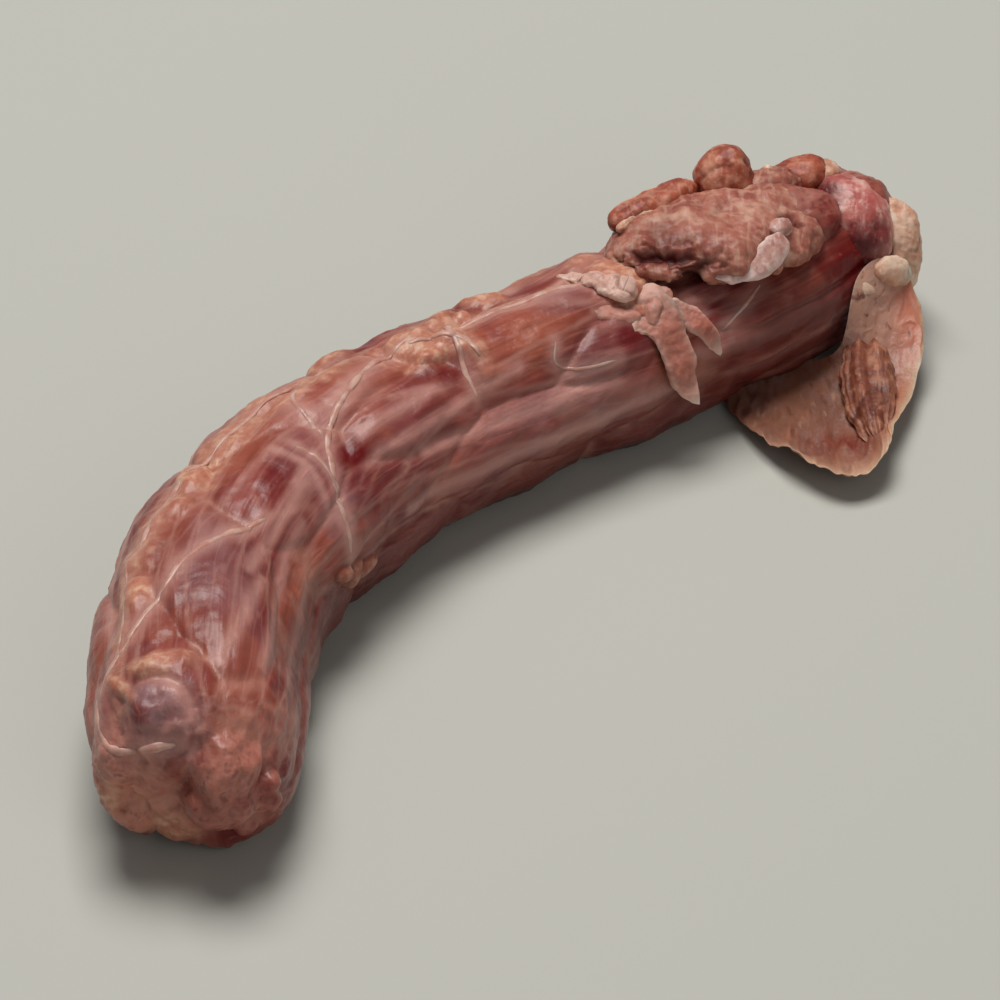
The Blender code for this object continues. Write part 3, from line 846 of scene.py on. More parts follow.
# %% Raw muscle
MUSCLE_FIELDS = {
    "fibre": (NOISE, True, (7.0, 0.5, 0.5), 2.0, 0.3),
    "panel": (NOISE, True, (13.0, 6.0, 6.0), 3.0, 0.4),
    "tint": (NOISE, False, (9.0, 9.0, 9.0), 2.0, 0.0),
    "fade": (NOISE, False, (5.0, 5.0, 5.0), 2.0, 0.0),
    "speck": (NOISE, False, (1.2, 1.2, 1.2), 3.0, 0.0),
    "strand": (LINES, True, (30.0, 5.5, 5.5), 0.0, 0.5),
    "fine_strand": (LINES, True, (15.0, 2.2, 2.2), 0.0, 0.7),
    "pore": (NOISE, False, (0.7, 0.7, 0.7), 3.0, 0.0),
}
MUSCLE_LAYERS = (
    (None, "panel", 0.40, 0.60, 1.0, "#964a42"),
    (None, "tint", 0.48, 0.62, 0.6, "#994f3c"),
    ("rust", "fade", 0.2, 0.5, 0.85, "#a5553a"),
    ("purple", "fade", 0.2, 0.5, 0.9, "#6c3135"),
    (None, "fibre", 0.50, 0.80, 0.22, "#b56f62"),
    (None, "fibre", 0.48, 0.22, 0.34, "#451110"),
    ("film", "fade", 0.28, 0.62, 0.6, "#ad8586"),
    (None, "strand", 0.09, 0.0, 0.26, "#cf9d8e"),
    (None, "fine_strand", 0.08, 0.0, 0.16, "#c9988a"),
    # Painted shade on the underside, by the low mask.
    ("low", "everywhere", 0.0, 1.0, 0.8, "#4a100b"),
    ("peach", "fade", 0.15, 0.45, 0.9, "#cb8d79"),
    ("peach", "speck", 0.55, 0.70, 0.5, "#a04a34"),
    ("crease", "fade", 0.42, 0.62, 0.45, "#c28876"),
    ("cord", "everywhere", 0.0, 1.0, 0.9, "#c9958a"),
    ("meat", "speck", 0.35, 0.65, 0.65, "#a25e51"),
    ("meat", "speck", 0.50, 0.30, 0.6, "#6c2824"),
    ("fat", "everywhere", 0.0, 1.0, 0.8, "#c07c62"),
    ("fat", "speck", 0.42, 0.70, 0.8, "#dbb094"),
    ("fat", "speck", 0.42, 0.25, 0.6, "#9a5640"),
    # Painted shade: the dark patches under the neck and under overhangs.
    ("dark", "everywhere", 0.0, 1.0, 0.9, "#540e08"),
    ("blood", "speck", 0.15, 0.42, 1.0, "#6a0408"),
)
MUSCLE_BUMPS = {"fibre": 0.8, "pore": 0.9, "fade": 1.0}
RAW_MUSCLE = tissue("raw_muscle_under_fascia", "#782825", MUSCLE_FIELDS, MUSCLE_LAYERS, MUSCLE_BUMPS)

# %% [markdown]
# ## Where the cords of fascia run
# Pale cords of connective tissue cross the muscles at a slant. Each is a line of places on the
# neck and a half thickness. Those that show are placed, and more are drawn at random from a
# fixed seed for the far side.

# %% Cords
CORDS = (
    ((76, 100), (71, 98), (65, 90), (58, 78), (54, 68), (51, 56), (48, 42), (46, 24), (45, 8), 0.42),
    ((60, 112), (57.5, 104), (55.6, 86), (54.2, 72), 0.38),
    ((62, 116), (52, 118), (40, 124), (28, 126), 0.38),
    ((37, 66), (33, 76), (28, 92), (22, 108), (15, 126), (8, 146), 0.44),
    ((9.5, 148), (4.6, 152), (2.6, 146), (1.8, 128), (1.5, 104), 0.5),
    ((6.6, 104), (4.6, 96), (2.4, 88), 0.2),
    ((80, 100), (78.6, 80), (77.4, 62), (77, 46), 0.42),
    ((74, 96), (77, 92), (79.4, 80), (80, 66), 0.38),
    ((80, 100), (86, 97), (93, 95), (100, 92), 0.42),
    ((50, 78), (50.4, 66), (49.4, 50), (47.6, 36), 0.32),
    ((47.5, 84), (48, 70), (47, 56), (45.6, 44), 0.2),
    ((56, 62), (64, 60), (72, 61), (77, 60), 0.16),
    ((56, 46), (66, 44), (76, 47), (84, 52), 0.16),
    ((90, 58), (89, 46), (92, 36), (97, 34), 0.22),
    ((66, 32), (76, 27), (86, 25), (96, 22), 0.18),
    ((60, 8), (74, 4), (90, 2), (104, 2), 0.2),
    ((111, 26), (114, 34), (117.5, 44), 0.21),
    ((108, 18), (118, 14), (128, 16), (136, 18), 0.2),
    ((112, -6), (122, -4), (134, -2), 0.2),
    ((12, 52), (20, 46), (30, 44), (40, 48), 0.2),
    ((26, 66), (34, 60), (42, 60), (48, 64), 0.2),
    ((10, 78), (18, 66), (26, 58), 0.18),
    ((14, 28), (24, 20), (34, 22), 0.18),
)


FAR_ALONG, FAR_AROUND = (8, 132), (128, 235)
FAR_SLANT, FAR_LENGTH, FAR_BEND, FAR_HALF = (-2.4, 2.4), (8, 24), (-0.08, 0.08), (0.14, 0.32)


def slanting_cords(count, seed):
    """Seeded cords for the far side: short lines at a slant to the neck."""
    random = np.random.default_rng(seed)
    found = []
    for _ in range(count):
        along, around = random.uniform(*FAR_ALONG), random.uniform(*FAR_AROUND)
        slant, length = random.uniform(*FAR_SLANT), random.uniform(*FAR_LENGTH)
        steps = np.linspace(0, length, 4)
        bend = random.uniform(*FAR_BEND)
        line = [(along + t, around + slant * t + bend * t * t) for t in steps]
        found.append((*line, random.uniform(*FAR_HALF)))
    return found


ALL_CORDS = (*CORDS, *slanting_cords(34, 23))
print(len(ALL_CORDS), "cords")

# %% [markdown]
# ## The web beside each cord
# A cord of fascia doesn't end at its sides. It spreads into a paler web that fades into the
# film, so its mask is wider than the cord itself. A stripe in a texture wouldn't follow the bend.

# %% The web beside each cord
WEB_ROWS = 130
WEB_STRENGTH, WEB_REACH = 0.7, 4
WEB_LEAST, WEB_PER_HALF = 0.5, 2.0


def cord_line(cord, rows):
    """Places along and around, in order, on a smooth curve through a cord's stations."""
    return resampled(cord[:-1], rows).T


def corded(along, around):
    """Web beside the cords: the highest of strength times e^-((distance / width) squared)."""
    spots = straightened(along, around)
    web = np.zeros(along.shape)
    for cord in ALL_CORDS:
        line_along, line_around = cord_line(cord, WEB_ROWS)
        line = straightened(line_along, np.radians(line_around))
        low, high = line.min(0) - WEB_REACH, line.max(0) + WEB_REACH
        near = ((spots > low) & (spots < high)).all(-1)
        gaps = np.linalg.norm(spots[near][:, None] - line[None], axis=-1).min(1)
        width = WEB_LEAST + WEB_PER_HALF * cord[-1]
        web[near] = np.maximum(web[near], WEB_STRENGTH * np.exp(-((gaps / width) ** 2)))
    return web


print("The first cord turns by", round(CORDS[0][0][1] - CORDS[0][-2][1]), "degrees round the neck")

# %% [markdown]
# ## The neck itself
# One closed grid, about a third of a millimetre fine, carries the whole neck. A last mask paints
# shade on the underside: it grows towards the surface that the neck lies on, and is weaker at
# the rounded end.

# %% Build the neck
RINGS, RING_POINTS = 460, 210
UNDERSIDE_SHADE_HEIGHT, UNDERSIDE_SHADE_RAMP, UNDERSIDE_SHADE_SWING = 13.0, 16.0, 0.12


def neck_surface():
    """The whole neck as one grid of rings, with its masks. Low, painted shade, is 1 - height / depth."""
    start, ray, reach, along, around = neck_rays(RINGS, RING_POINTS)
    reach, masks, straight = fleshed(start, ray, reach, along, around)
    points = start + ray * reach[..., None]
    masks["cord"] = corded(along, around)
    masks["straight"] = straight
    # Painted shade: darker towards the floor, with a little noise in its height.
    low = np.clip(1 - points[..., 2] / UNDERSIDE_SHADE_HEIGHT + UNDERSIDE_SHADE_SWING * swells(points, 6.0, 90), 0, 1)
    masks["low"] = low * np.clip(along / UNDERSIDE_SHADE_RAMP, 0.2, 1)
    return settled(points), masks


neck_points, neck_masks = neck_surface()
neck_muscle = make_piece("neck_muscle", [neck_points], RAW_MUSCLE, [neck_masks])
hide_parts("neck")

# %% [markdown]
# ## Rolls
# The scraps at the cut end have two plain forms. The first is a roll. It follows a path over the
# flesh, and its cross-section is an oval, or a strip with a thin waist. A curve with a bevel
# would do. Worked out as a grid of rings, a roll has an even mesh and knows where its edges and
# ends are, which the materials need.

# %% Rolls
WIDTH_SWING = 0.18


def path_frames(path, normals):
    """Along a path of points: the unit direction, the side and the outward direction."""
    ahead = np.gradient(path, axis=0)
    ahead /= np.linalg.norm(ahead, axis=1, keepdims=True)
    normals = normals - ahead * (normals * ahead).sum(1, keepdims=True)
    normals = normals / np.linalg.norm(normals, axis=1, keepdims=True)
    return ahead, np.cross(ahead, normals), normals


def closing(rows, power=6):
    """1 along most of a roll and rounding to 0 at both ends: (1 - |u|^power)^(1/2)."""
    return np.sqrt(np.maximum(1 - np.abs(np.linspace(-1, 1, rows)) ** power, 0))


def swept(path, normals, half_width, half_thick, ring_points, waist=0.0, power=6):
    """Ovals across a path, 1 - waist times sin^2 of the turn thick, with masks edge and ends."""
    _, side, up = path_frames(path, normals)
    close = closing(len(path), power)
    turn = full_turn(ring_points)
    across = np.cos(turn)[None, :] * (half_width * close)[:, None]
    lift = (np.sin(turn) * (1 - waist * np.sin(turn) ** 2))[None, :] * (half_thick * close)[:, None]
    edge = np.repeat(np.abs(np.cos(turn))[None, :] ** 4, len(path), 0)
    run = np.linspace(0, 1, len(path))[:, None]
    ends = np.repeat(run**4 + 0.5 * (1 - run) ** 3, ring_points, 1)
    points = path[:, None] + side[:, None] * across[..., None] + up[:, None] * lift[..., None]
    return points, edge, ends


def roll_on_neck(table, rows, ring_points, waist=0.0, power=6, on=on_neck):
    """A roll over the neck. Rows: along, around, out, half width, half thickness."""
    along, around, out, half_width, half_thick = resampled(table, rows).T
    path, _, normals = on(along, around, out)
    half_width = half_width * (1 + WIDTH_SWING * swell(path, 1.8, 15))
    return swept(path, normals, half_width, half_thick, ring_points, waist, power)


print("A roll of 9 rows closes as", closing(9).round(2))

# %% [markdown]
# ## Blobs
# The second form is a blob, for a knob of fat or a bit of meat. It is an ellipsoid with its own
# turn on the neck. A scaled sphere would do, but a grid of rings takes the same relief as a roll.

# %% Blobs


def blob(lump, rows=60, ring_points=84):
    """An ellipsoid on the neck, as a grid of rings."""
    along, around, out, half_length, half_width, half_height, skew = lump
    point, axes = turned_frame(along, around, skew)
    polar = np.linspace(0, np.pi, rows)[:, None]
    turn = full_turn(ring_points)[None, :]
    unit = [np.cos(polar) + 0 * turn, np.sin(polar) * np.cos(turn), np.sin(polar) * np.sin(turn)]
    local = np.stack(unit, -1) * (half_length, half_width, half_height)
    return point + out * axes[2] + local @ axes


BALL = blob((60, 90, 0, 5, 5, 5, 0), 12, 16)
print("The middle of a ball on top of the neck is", BALL.mean((0, 1))[2].round(1), "mm up")

# %% [markdown]
# ## Torn surfaces
# Torn meat has no smooth skin. It is lumpy, folded and crumbly. Sculpting by hand would do, but a
# formula can be run again at any size: each point of a roll or blob moves along its own normal
# by soft swells, narrow folds and crumbs. A call gives the width of the swells, the height of
# it all and a seed. The same fields become masks for the materials.

# %% Torn surfaces
SWELL_SHARE, FOLD_SHARE, FOLD_WIDTH = 0.6, 0.45, 0.16


def grown(points, amount):
    """Moves each point of a closed grid along its own normal by an amount."""
    lengthwise = np.gradient(points, axis=0)
    around = np.roll(points, -1, 1) - np.roll(points, 1, 1)
    normal = np.cross(around, lengthwise)
    length = np.linalg.norm(normal, axis=-1, keepdims=True)
    normal = normal / np.maximum(length, 1e-9)
    if ((points - points.mean(1, keepdims=True)) * normal).sum() < 0:
        normal = -normal
    fade = np.minimum(2 * length[..., 0] / np.median(length), 1.0)
    return points + normal * (amount * fade)[..., None]


def torn(points, size, amount, seed, crumbly=0.2, pits=(), blood=(), edge=None, ends=None):
    """Swells, minus folds where another swell passes zero, plus crumbs. Returns masks as well."""
    soft = swells(points, size, seed, 4)
    fold = np.exp(-((swell(points, 0.9 * size, seed + 5) / FOLD_WIDTH) ** 2))
    fold *= np.clip(0.1 + 1.6 * swell(points, 1.6 * size, seed + 6), 0, 1)
    crumbs = 0.6 * pebbles(points, 0.36 * size, seed + 7) + 0.4 * pebbles(points, 0.17 * size, seed + 9)
    fray = swells(points, 1.5, seed + 8)
    dent = patched(points, pits, fray)
    height = SWELL_SHARE * soft - FOLD_SHARE * fold - dent + crumbly * (crumbs - 0.5)
    masks = {
        "pit_shade": np.maximum(0.6 * fold, dent),
        "crumb": crumbs,
        "blood": patched(points, blood, fray),
        "edge": np.zeros(fold.shape) if edge is None else edge,
        "ends": np.zeros(fold.shape) if ends is None else ends,
    }
    return settled(grown(points, amount * height)), masks


def scrap(name, material, parts):
    """A piece of one or more torn grids."""
    return make_piece(name, [points for points, _ in parts], material, [masks for _, masks in parts])


print("On a torn ball, the deepest pit is", torn(BALL, 3.0, 1.0, 2)[1]["pit_shade"].max().round(2))

# %% [markdown]
# ## Materials of the scraps
# Cut meat and fat share one recipe. Folds and pits are darkened with painted shade, the tops of
# the crumbs are pale, edges of torn skin dry out to cream, and blood lies where vessels were cut.
# What differs is the colours. Crumbs are about a millimetre across.

# %% Scrap materials
SCRAP_FIELDS = {
    "crumble": (NOISE, False, (1.1, 1.1, 1.1), 4.0, 0.3),
    "broad": (NOISE, False, (4.0, 4.0, 4.0), 2.0, 0.3),
    "streak": (NOISE, False, (0.7, 5.0, 1.6), 3.0, 0.3),
    "pore": (NOISE, False, (0.5, 0.5, 0.5), 4.0, 0.0),
}
SCRAP_BUMPS = {"crumble": 1.0, "pore": 1.2}


def scrap_tissue(name, meat, pale, stain, pit_shade, rough=0.5, pale_areas=0.7):
    """Tissue in four tones: its own, pale tops and edges, stains, and painted shade in folds and pits."""
    layers = (
        (None, "broad", 0.48, 0.62, 0.75, stain),
        (None, "broad", 0.47, 0.34, pale_areas, pale),
        (None, "streak", 0.52, 0.70, 0.65 * pale_areas, pale),
        (None, "crumble", 0.48, 0.28, 0.55, stain),
        ("crumb", "crumble", 0.45, 0.70, 0.1 + 0.95 * pale_areas, pale),
        ("edge", "broad", 0.20, 0.45, 0.9, pale),
        ("ends", "everywhere", 0.0, 0.8, 0.9, pale),
        # Painted shade in the folds and pits.
        ("pit_shade", "everywhere", 0.0, 1.0, 0.9, pit_shade),
        ("blood", "crumble", 0.20, 0.45, 1.0, "#5c0e13"),
    )
    return tissue(name, meat, SCRAP_FIELDS, layers, SCRAP_BUMPS, rough=rough, coat=0.15)


# The fourth colour of each is the painted shade for its folds and pits.
CUT_MEAT = scrap_tissue("coarse_cut_meat", "#aa6857", "#cca18c", "#8e4b3f", "#54140e")
BROWN_FAT = scrap_tissue("orange_brown_fat", "#a9573f", "#d49a80", "#833222", "#450c08")
CREAM_FAT = scrap_tissue("cream_fat", "#d9aa90", "#ecd3bd", "#bd8268", "#73382a")
PALE_FASCIA = scrap_tissue("pale_fascia", "#c4968a", "#e9d0c8", "#9d665a", "#632a22")
PINK_BONE = scrap_tissue("pink_bone_end", "#c97a70", "#ecc0b5", "#ab504c", "#560d12", 0.36)
TORN_SKIN = scrap_tissue("peach_torn_skin", "#a5462c", "#ffe6d6", "#8b3620", "#642616", pale_areas=0.0)
BROWN_SKIN = scrap_tissue("brown_crinkled_skin", "#7a3f2d", "#b47c62", "#63301f", "#3c120b")

# %% [markdown]
# ## The crown of meat at the cut end
# Where the neck was cut from the back, a chunk of meat stays on top. It is a thick roll along a
# short path that overhangs the muscle below, with a deep crevice, and a whitish fold of film
# at its lower edge.

# %% Crown
CROWN_PATH = (
    (102.6, 110, -0.6, 3.6, 2.4), (107, 104, 0.2, 6.8, 3.6), (113, 96, 0.3, 8, 3.8),
    (119, 89, 0, 8, 3.6), (125, 81, -0.5, 7, 3.4), (129.6, 76, -1.3, 4.8, 2.9), (133, 74, -2.4, 3, 2.2),
)
CROWN_PITS = (
    (107.6, 77, 4.2, 1.2, -38, 1.5), (110.6, 64, 2.6, 1.1, -10, 1.1), (105, 92, 2.2, 0.7, 40, 0.5),
    (124.4, 66, 1.6, 0.6, -60, 0.9), (117, 90, 3, 0.7, 20, 0.4),
)
CROWN_BLOOD = ((131.5, 72, 2.6, 4.4, 0, 1),)
MEAT_BEHIND = (126, 108, 0.6, 8, 3.4, 2.8, 0)
PALE_FOLD = (
    (111.4, 60, 2.2, 0.9, 0.4), (114, 55, 2.8, 1.5, 0.5), (116.8, 53, 3.4, 1.7, 0.6),
    (119.4, 57, 3.8, 1.5, 0.6), (121, 62, 4, 0.9, 0.4),
)
PALE_BIT = (121.8, 65, 3.4, 1.5, 1.2, 1.2, 0)

crown_roll, _, _ = roll_on_neck(CROWN_PATH, rows=230, ring_points=190, power=4)
crown_parts = [torn(crown_roll, 6.4, 1.2, 12, 0.2, CROWN_PITS, CROWN_BLOOD)]
crown_parts += [torn(blob(MEAT_BEHIND), 4.0, 1.0, 18)]
scrap("meat_crown", CUT_MEAT, crown_parts)
fold_roll, fold_edge, _ = roll_on_neck(PALE_FOLD, rows=70, ring_points=40)
fold_parts = [torn(fold_roll, 2.6, 0.3, 14, edge=fold_edge), torn(blob(PALE_BIT, 30, 40), 2.0, 0.3, 16)]
scrap("pale_fold", PALE_FASCIA, fold_parts)

# %% [markdown]
# ## Knobs of fat on the skyline, and the end of the bone column
# Behind the crown, three knobs of orange-brown fat catch the light, with smaller bits of cream
# fat between them. The pink end of the bone column shows beside them, with blood round it.

# %% Knobs and bone end
KNOBS = (
    (113.6, 122, 4, 6.8, 2.4, 2.1, 4), (124.4, 116, 3.9, 4.2, 3.7, 3.8, 10),
    (133.4, 107, 0.9, 3.8, 2.7, 2.4, -12),
)
CREAM_BITS = (
    (129.2, 108, 1.9, 1.6, 1.4, 1.7, 0), (135.6, 99, 0.6, 2.6, 1.9, 1.9, -20),
    (114, 128, 4.4, 6, 1.1, 1.3, 3), (109, 113, 3.4, 2.6, 0.6, 0.9, -6),
)
KNOB_PITS = (
    (127.4, 106, 2, 2.6, 0, 0.7), (130.6, 104, 0.8, 3, 0, 0.9), (112, 118, 5, 0.7, 0, 0.5),
)
BONE_LUMP = (135.4, 58, -2.2, 4.8, 6.2, 4.6, 0)
BONE_BLOOD = ((132.6, 82, 2.6, 2.8, 0, 1), (131.6, 36, 5.4, 3.2, 0, 1))

knob_parts = [torn(blob(knob), 5.0, 0.8, 30 + 9 * i, 0.22, KNOB_PITS) for i, knob in enumerate(KNOBS)]
scrap("fat_knobs", BROWN_FAT, knob_parts)
scrap("cream_bits", CREAM_FAT, [torn(blob(b, 40, 50), 2.4, 0.6, 60 + i) for i, b in enumerate(CREAM_BITS)])
scrap("bone_end", PINK_BONE, [torn(blob(BONE_LUMP, 80, 110), 5.0, 0.6, 41, 0.12, blood=BONE_BLOOD)])

# %% [markdown]
# ## The fat roll
# A roll of cream fat runs down the edge of the cut, with loose bits beside it. A bevelled curve
# would give the roll. The swept oval with torn relief gives its lumps as well.

# %% Fat roll
COLLAR = (
    (139.6, 62, -0.5, 0.8, 0.7), (140.2, 50, 0.1, 1.5, 1.2), (140.2, 33, 0.4, 2, 1.4),
    (139.4, 12, 0.5, 2.3, 1.4), (138.4, -8, 0.3, 2.1, 1.2), (137.2, -32, -0.1, 1.6, 1),
)
COLLAR_BITS = (
    (135.6, 12, 1.5, 3, 2, 1.2, -30), (131.4, 6, 1.2, 2, 1.1, 0.9, -50),
    (136.8, 2, 1.4, 2.2, 1.6, 1.1, 40),
)
collar_roll, collar_edge, _ = roll_on_neck(COLLAR, rows=140, ring_points=60)
collar_parts = [torn(collar_roll, 3.2, 0.6, 51, 0.15, edge=0.5 * collar_edge)]
collar_parts += [torn(blob(b, 30, 40), 2.4, 0.4, 53 + i) for i, b in enumerate(COLLAR_BITS)]
scrap("fat_roll", CREAM_FAT, collar_parts)

# %% [markdown]
# ## The torn tag
# Further back, two strips of torn skin hang down the side from a peach-coloured root, and a pale
# strand climbs from it to the crown. A torn strip is thin in the middle and thicker at its
# drawn-up edges, which is the waist of its cross-section.

# %% Torn tag
TAG = (
    (101, 68, -0.3, 3, 0.7), (102.8, 58, 0.3, 3.6, 1.2), (103.9, 46, 0.8, 3.2, 1.2),
    (104.1, 30, 1.2, 2.3, 0.9), (104.2, 14, 1.7, 1.8, 0.8), (104.5, 5, 2.3, 1.4, 0.6),
    (104.9, -0.5, 2.9, 0.8, 0.42), (105.3, -4, 3.4, 0.2, 0.26),
)
TAG_EDGE = (
    (104.6, 56, 0.6, 1.4, 0.8), (106.8, 46, 1, 1.6, 0.8), (108.4, 33, 1.2, 1.3, 0.7),
    (109.4, 22, 0.9, 1, 0.5), (110.2, 11, 0.4, 0.3, 0.3),
)
TAG_STRAND = (
    (97, 112, -0.1, 0.5, 0.4), (98.8, 100, 0, 1.3, 0.7), (99.6, 88, 0.1, 1.5, 0.8),
    (100.8, 76, 0.1, 1.8, 0.9), (102.4, 66, 0.1, 1.9, 0.9),
)
TAG_ROOT = ((104.4, 56, 0.6, 2.8, 1.5, 0.9, 40), (99, 62, 0, 3.4, 1.4, 0.9, -30))

tag_parts = []
for i, table in enumerate((TAG, TAG_EDGE)):
    strip, strip_edge, strip_ends = roll_on_neck(table, rows=130, ring_points=70, waist=0.6)
    tag_parts.append(torn(strip, 3.2, 0.6, 61 + i, 0.15, edge=0.4 * strip_edge, ends=strip_ends))
strand, strand_edge, _ = roll_on_neck(TAG_STRAND, rows=110, ring_points=60, on=flesh_point)
strand_ends = np.full(strand.shape[:2], 0.5)
tag_parts.append(torn(strand, 2.4, 0.6, 63, 0.2, edge=0.5 * strand_edge, ends=strand_ends))
for i, lump in enumerate(TAG_ROOT):
    root = blob(lump, 40, 50)
    tag_parts.append(torn(root, 3.0, 0.6, 65 + i, 0.15, ends=np.full(root.shape[:2], 0.25)))
scrap("torn_tag", TORN_SKIN, tag_parts)

# %% [markdown]
# ## The flap of skin
# A thin flap hangs from the cut end and spreads on the surface. It is a sheet between two
# lines, its root in the neck and its free edge. Ripples run across it, its rim is drawn up and
# thicker, and its two faces stay a small distance apart.

# %% Flap
FLAP = (
    (40.2, 41.8, 13.4, 48.6, 48.8, 11.6), (40.6, 39.8, 10.6, 49.2, 46, 8),
    (40.4, 38.6, 7.2, 49.4, 42.5, 5.6), (39.6, 38, 4.6, 49.2, 37.5, 3.8),
    (37.6, 38.6, 2.6, 48.2, 27, 2.2), (35, 40, 1.6, 44.8, 17.6, 1.7), (32.5, 39.3, 1.3, 38.8, 14.6, 2),
    (29.5, 37.8, 1.3, 31.2, 21, 1.5), (26.5, 35.8, 1.3, 26.2, 29.3, 1.1),
)
FLAP_HALF_THICKNESS, RIM_THICKENING = 0.32, 0.9
FLAP_RIPPLES, RIPPLE_SIZE = 3.5, 0.6
FOLD_SIZE, CREASE_SIZE, CURL_SIZE = 0.8, 0.45, 2.4
HOLLOW_AT, HOLLOW_SIZE = (40.0, 21.5), (4.0, 2.4)


def flap_surface(rows, ring_points):
    """root + (free - root) times share, plus ripples, a drawn-up rim and half the thickness."""
    lines = resampled(FLAP, rows)
    root, free = lines[:, None, :3], lines[:, None, 3:]
    close = closing(rows)[:, None, None]
    turn = full_turn(ring_points)
    share = 0.5 - 0.5 * np.cos(turn)[None, :, None] * close
    flat = root + (free - root) * share
    normal = np.cross(np.gradient(flat[:, 0], axis=0), (free - root)[:, 0])
    normal *= np.sign(normal[:, 2:])
    normal = normal / np.linalg.norm(normal, axis=1, keepdims=True)
    run = np.linspace(0, 1, rows)[:, None, None]
    ripple = RIPPLE_SIZE * np.sin(2 * np.pi * FLAP_RIPPLES * run + 2.0 * share) * share**2
    loose = share * np.clip(4 * run, 0.2, 1)
    folds = FOLD_SIZE * swells(flat * (1.0, 0.4, 1.0), 3.6, 77, 3)[..., None] * loose
    crests = 1 - np.abs(swell(flat * (1.0, 0.25, 1.0), 1.8, 81))[..., None]
    creases = CREASE_SIZE * crests**4 * loose
    curl = CURL_SIZE * share**4 * np.sin(np.pi * np.clip((run - 0.2) / 0.8, 0, 1))
    thin = FLAP_HALF_THICKNESS * (1 + RIM_THICKENING * share**8) * np.sin(turn)[None, :, None] * close
    points = settled(flat + normal[:, None] * (thin + ripple + folds + creases + curl + 0.1))
    hollow = (((flat[..., :2] - HOLLOW_AT) / HOLLOW_SIZE) ** 2).sum(-1)
    fray = 1 + 0.5 * swells(flat, 2.5, 79)
    masks = {
        "rim": share[..., 0] ** 14,
        "hollow": np.exp(-hollow * fray),
        "strip": np.clip(1.8 - 3.8 * run[..., 0], 0, 1) + 0 * share[..., 0],
        "outer": np.clip(2.4 * share[..., 0] - 1.2, 0, 1) * np.clip(1.4 - 1.8 * run[..., 0], 0, 1),
        "film": np.clip(0.4 + 1.2 * swells(flat * (1, 0.5, 1), 4.0, 83), 0, 1) * (1 - share[..., 0]),
    }
    return points, masks


flap_points, flap_masks = flap_surface(190, 170)
print("The flap reaches", flap_points[..., 2].max().round(1), "mm up")

# %% [markdown]
# ## The skin of the flap
# Skin without its feathers is thin, peach to brown, and finely crinkled, and it dries to cream at
# a torn rim. Its masks say where the strip, the rim and the red hollow are.

# %% Skin of the flap
SKIN_FIELDS = {
    "crinkle": (NOISE, False, (1.0, 3.0, 1.0), 4.0, 0.4),
    "broad": (NOISE, False, (4.5, 6.0, 4.5), 2.0, 0.3),
    "pore": (NOISE, False, (0.5, 0.5, 0.5), 4.0, 0.0),
}
SKIN_LAYERS = (
    (None, "broad", 0.42, 0.60, 0.8, "#7c5244"),
    ("strip", "crinkle", 0.20, 0.45, 0.9, "#d09b86"),
    ("outer", "crinkle", 0.25, 0.50, 0.85, "#b9573d"),
    ("film", "crinkle", 0.35, 0.60, 0.7, "#9a7a75"),
    (None, "crinkle", 0.58, 0.75, 0.45, "#c59a80"),
    (None, "crinkle", 0.45, 0.25, 0.6, "#5f3327"),
    ("hollow", "broad", 0.20, 0.50, 0.9, "#6e1f0e"),
    ("rim", "everywhere", 0.0, 1.0, 0.9, "#d0ab8f"),
)
SKIN_BUMPS = {"crinkle": 1.8, "pore": 1.0}
FLAP_SKIN = tissue("thin_skin", "#905f4a", SKIN_FIELDS, SKIN_LAYERS, SKIN_BUMPS, depth=2.4)
make_piece("skin_flap", [flap_points], FLAP_SKIN, [flap_masks])

# %% [markdown]
# ## The crinkled tab
# A brown tab of dried skin lies on the flap, drawn up into lengthwise pleats. Cloth simulation
# could pleat it, but a noise that is drawn out along the tab gives the same grooves at once.

# %% Tab on the flap
FLAP_TAB = (
    (42.8, 40.4, 5, 2, 0.9), (42.6, 35.5, 4.2, 2.9, 1.2), (42.8, 29.5, 3.5, 2.7, 1.3),
    (43.3, 24.5, 3.2, 2, 1.1), (43.7, 20.8, 3, 1.1, 0.7),
)
TAB_UP = (-0.2, -0.4, 1.0)
GROOVES_ROUND, GROOVE_DEPTH = 2.6, 0.4


def tab_surface(rows, ring_points):
    """A flat roll with grooves that run lengthwise: height is a swell drawn out ten times."""
    smooth = resampled(FLAP_TAB, rows)
    path, half_width, half_thick = smooth[:, :3], smooth[:, 3], smooth[:, 4]
    half_width = half_width * (1 + 0.15 * swell(path, 2.4, 97))
    points, edge, _ = swept(path, np.repeat([TAB_UP], rows, 0), half_width, half_thick, ring_points)
    turn = full_turn(ring_points)
    lengthwise, turn = np.meshgrid(np.linspace(0, 1.2, rows), turn, indexing="ij")
    across, up = GROOVES_ROUND * np.cos(turn), GROOVES_ROUND * np.sin(turn)
    grooves = swells(np.stack([lengthwise, across, up], -1), 1.3, 95)
    return grown(points, GROOVE_DEPTH * grooves), edge


tab_points, tab_edge = tab_surface(120, 110)
scrap("flap_tab", BROWN_SKIN, [torn(tab_points, 4.0, 0.3, 91, edge=0.3 * tab_edge)])

# %% [markdown]
# ## Cords of fascia
# The cords that were laid out above now become thin, flattened tubes, pressed into the flesh so
# that only their backs stand out. Thickness swells and thins on the way, as real strands do.

# %% Build the cords
CORD_SINK, RAISED_FROM = 0.3, 0.21
ROWS_PER_STATION, FIRST_CORD_SEED = 18, 200
WANDER_SIZE, WANDER_ALONG, WANDER_AROUND = 5.0, 0.15, 0.9
CORD_SWING, CORD_FLATNESS = 0.4, 0.6


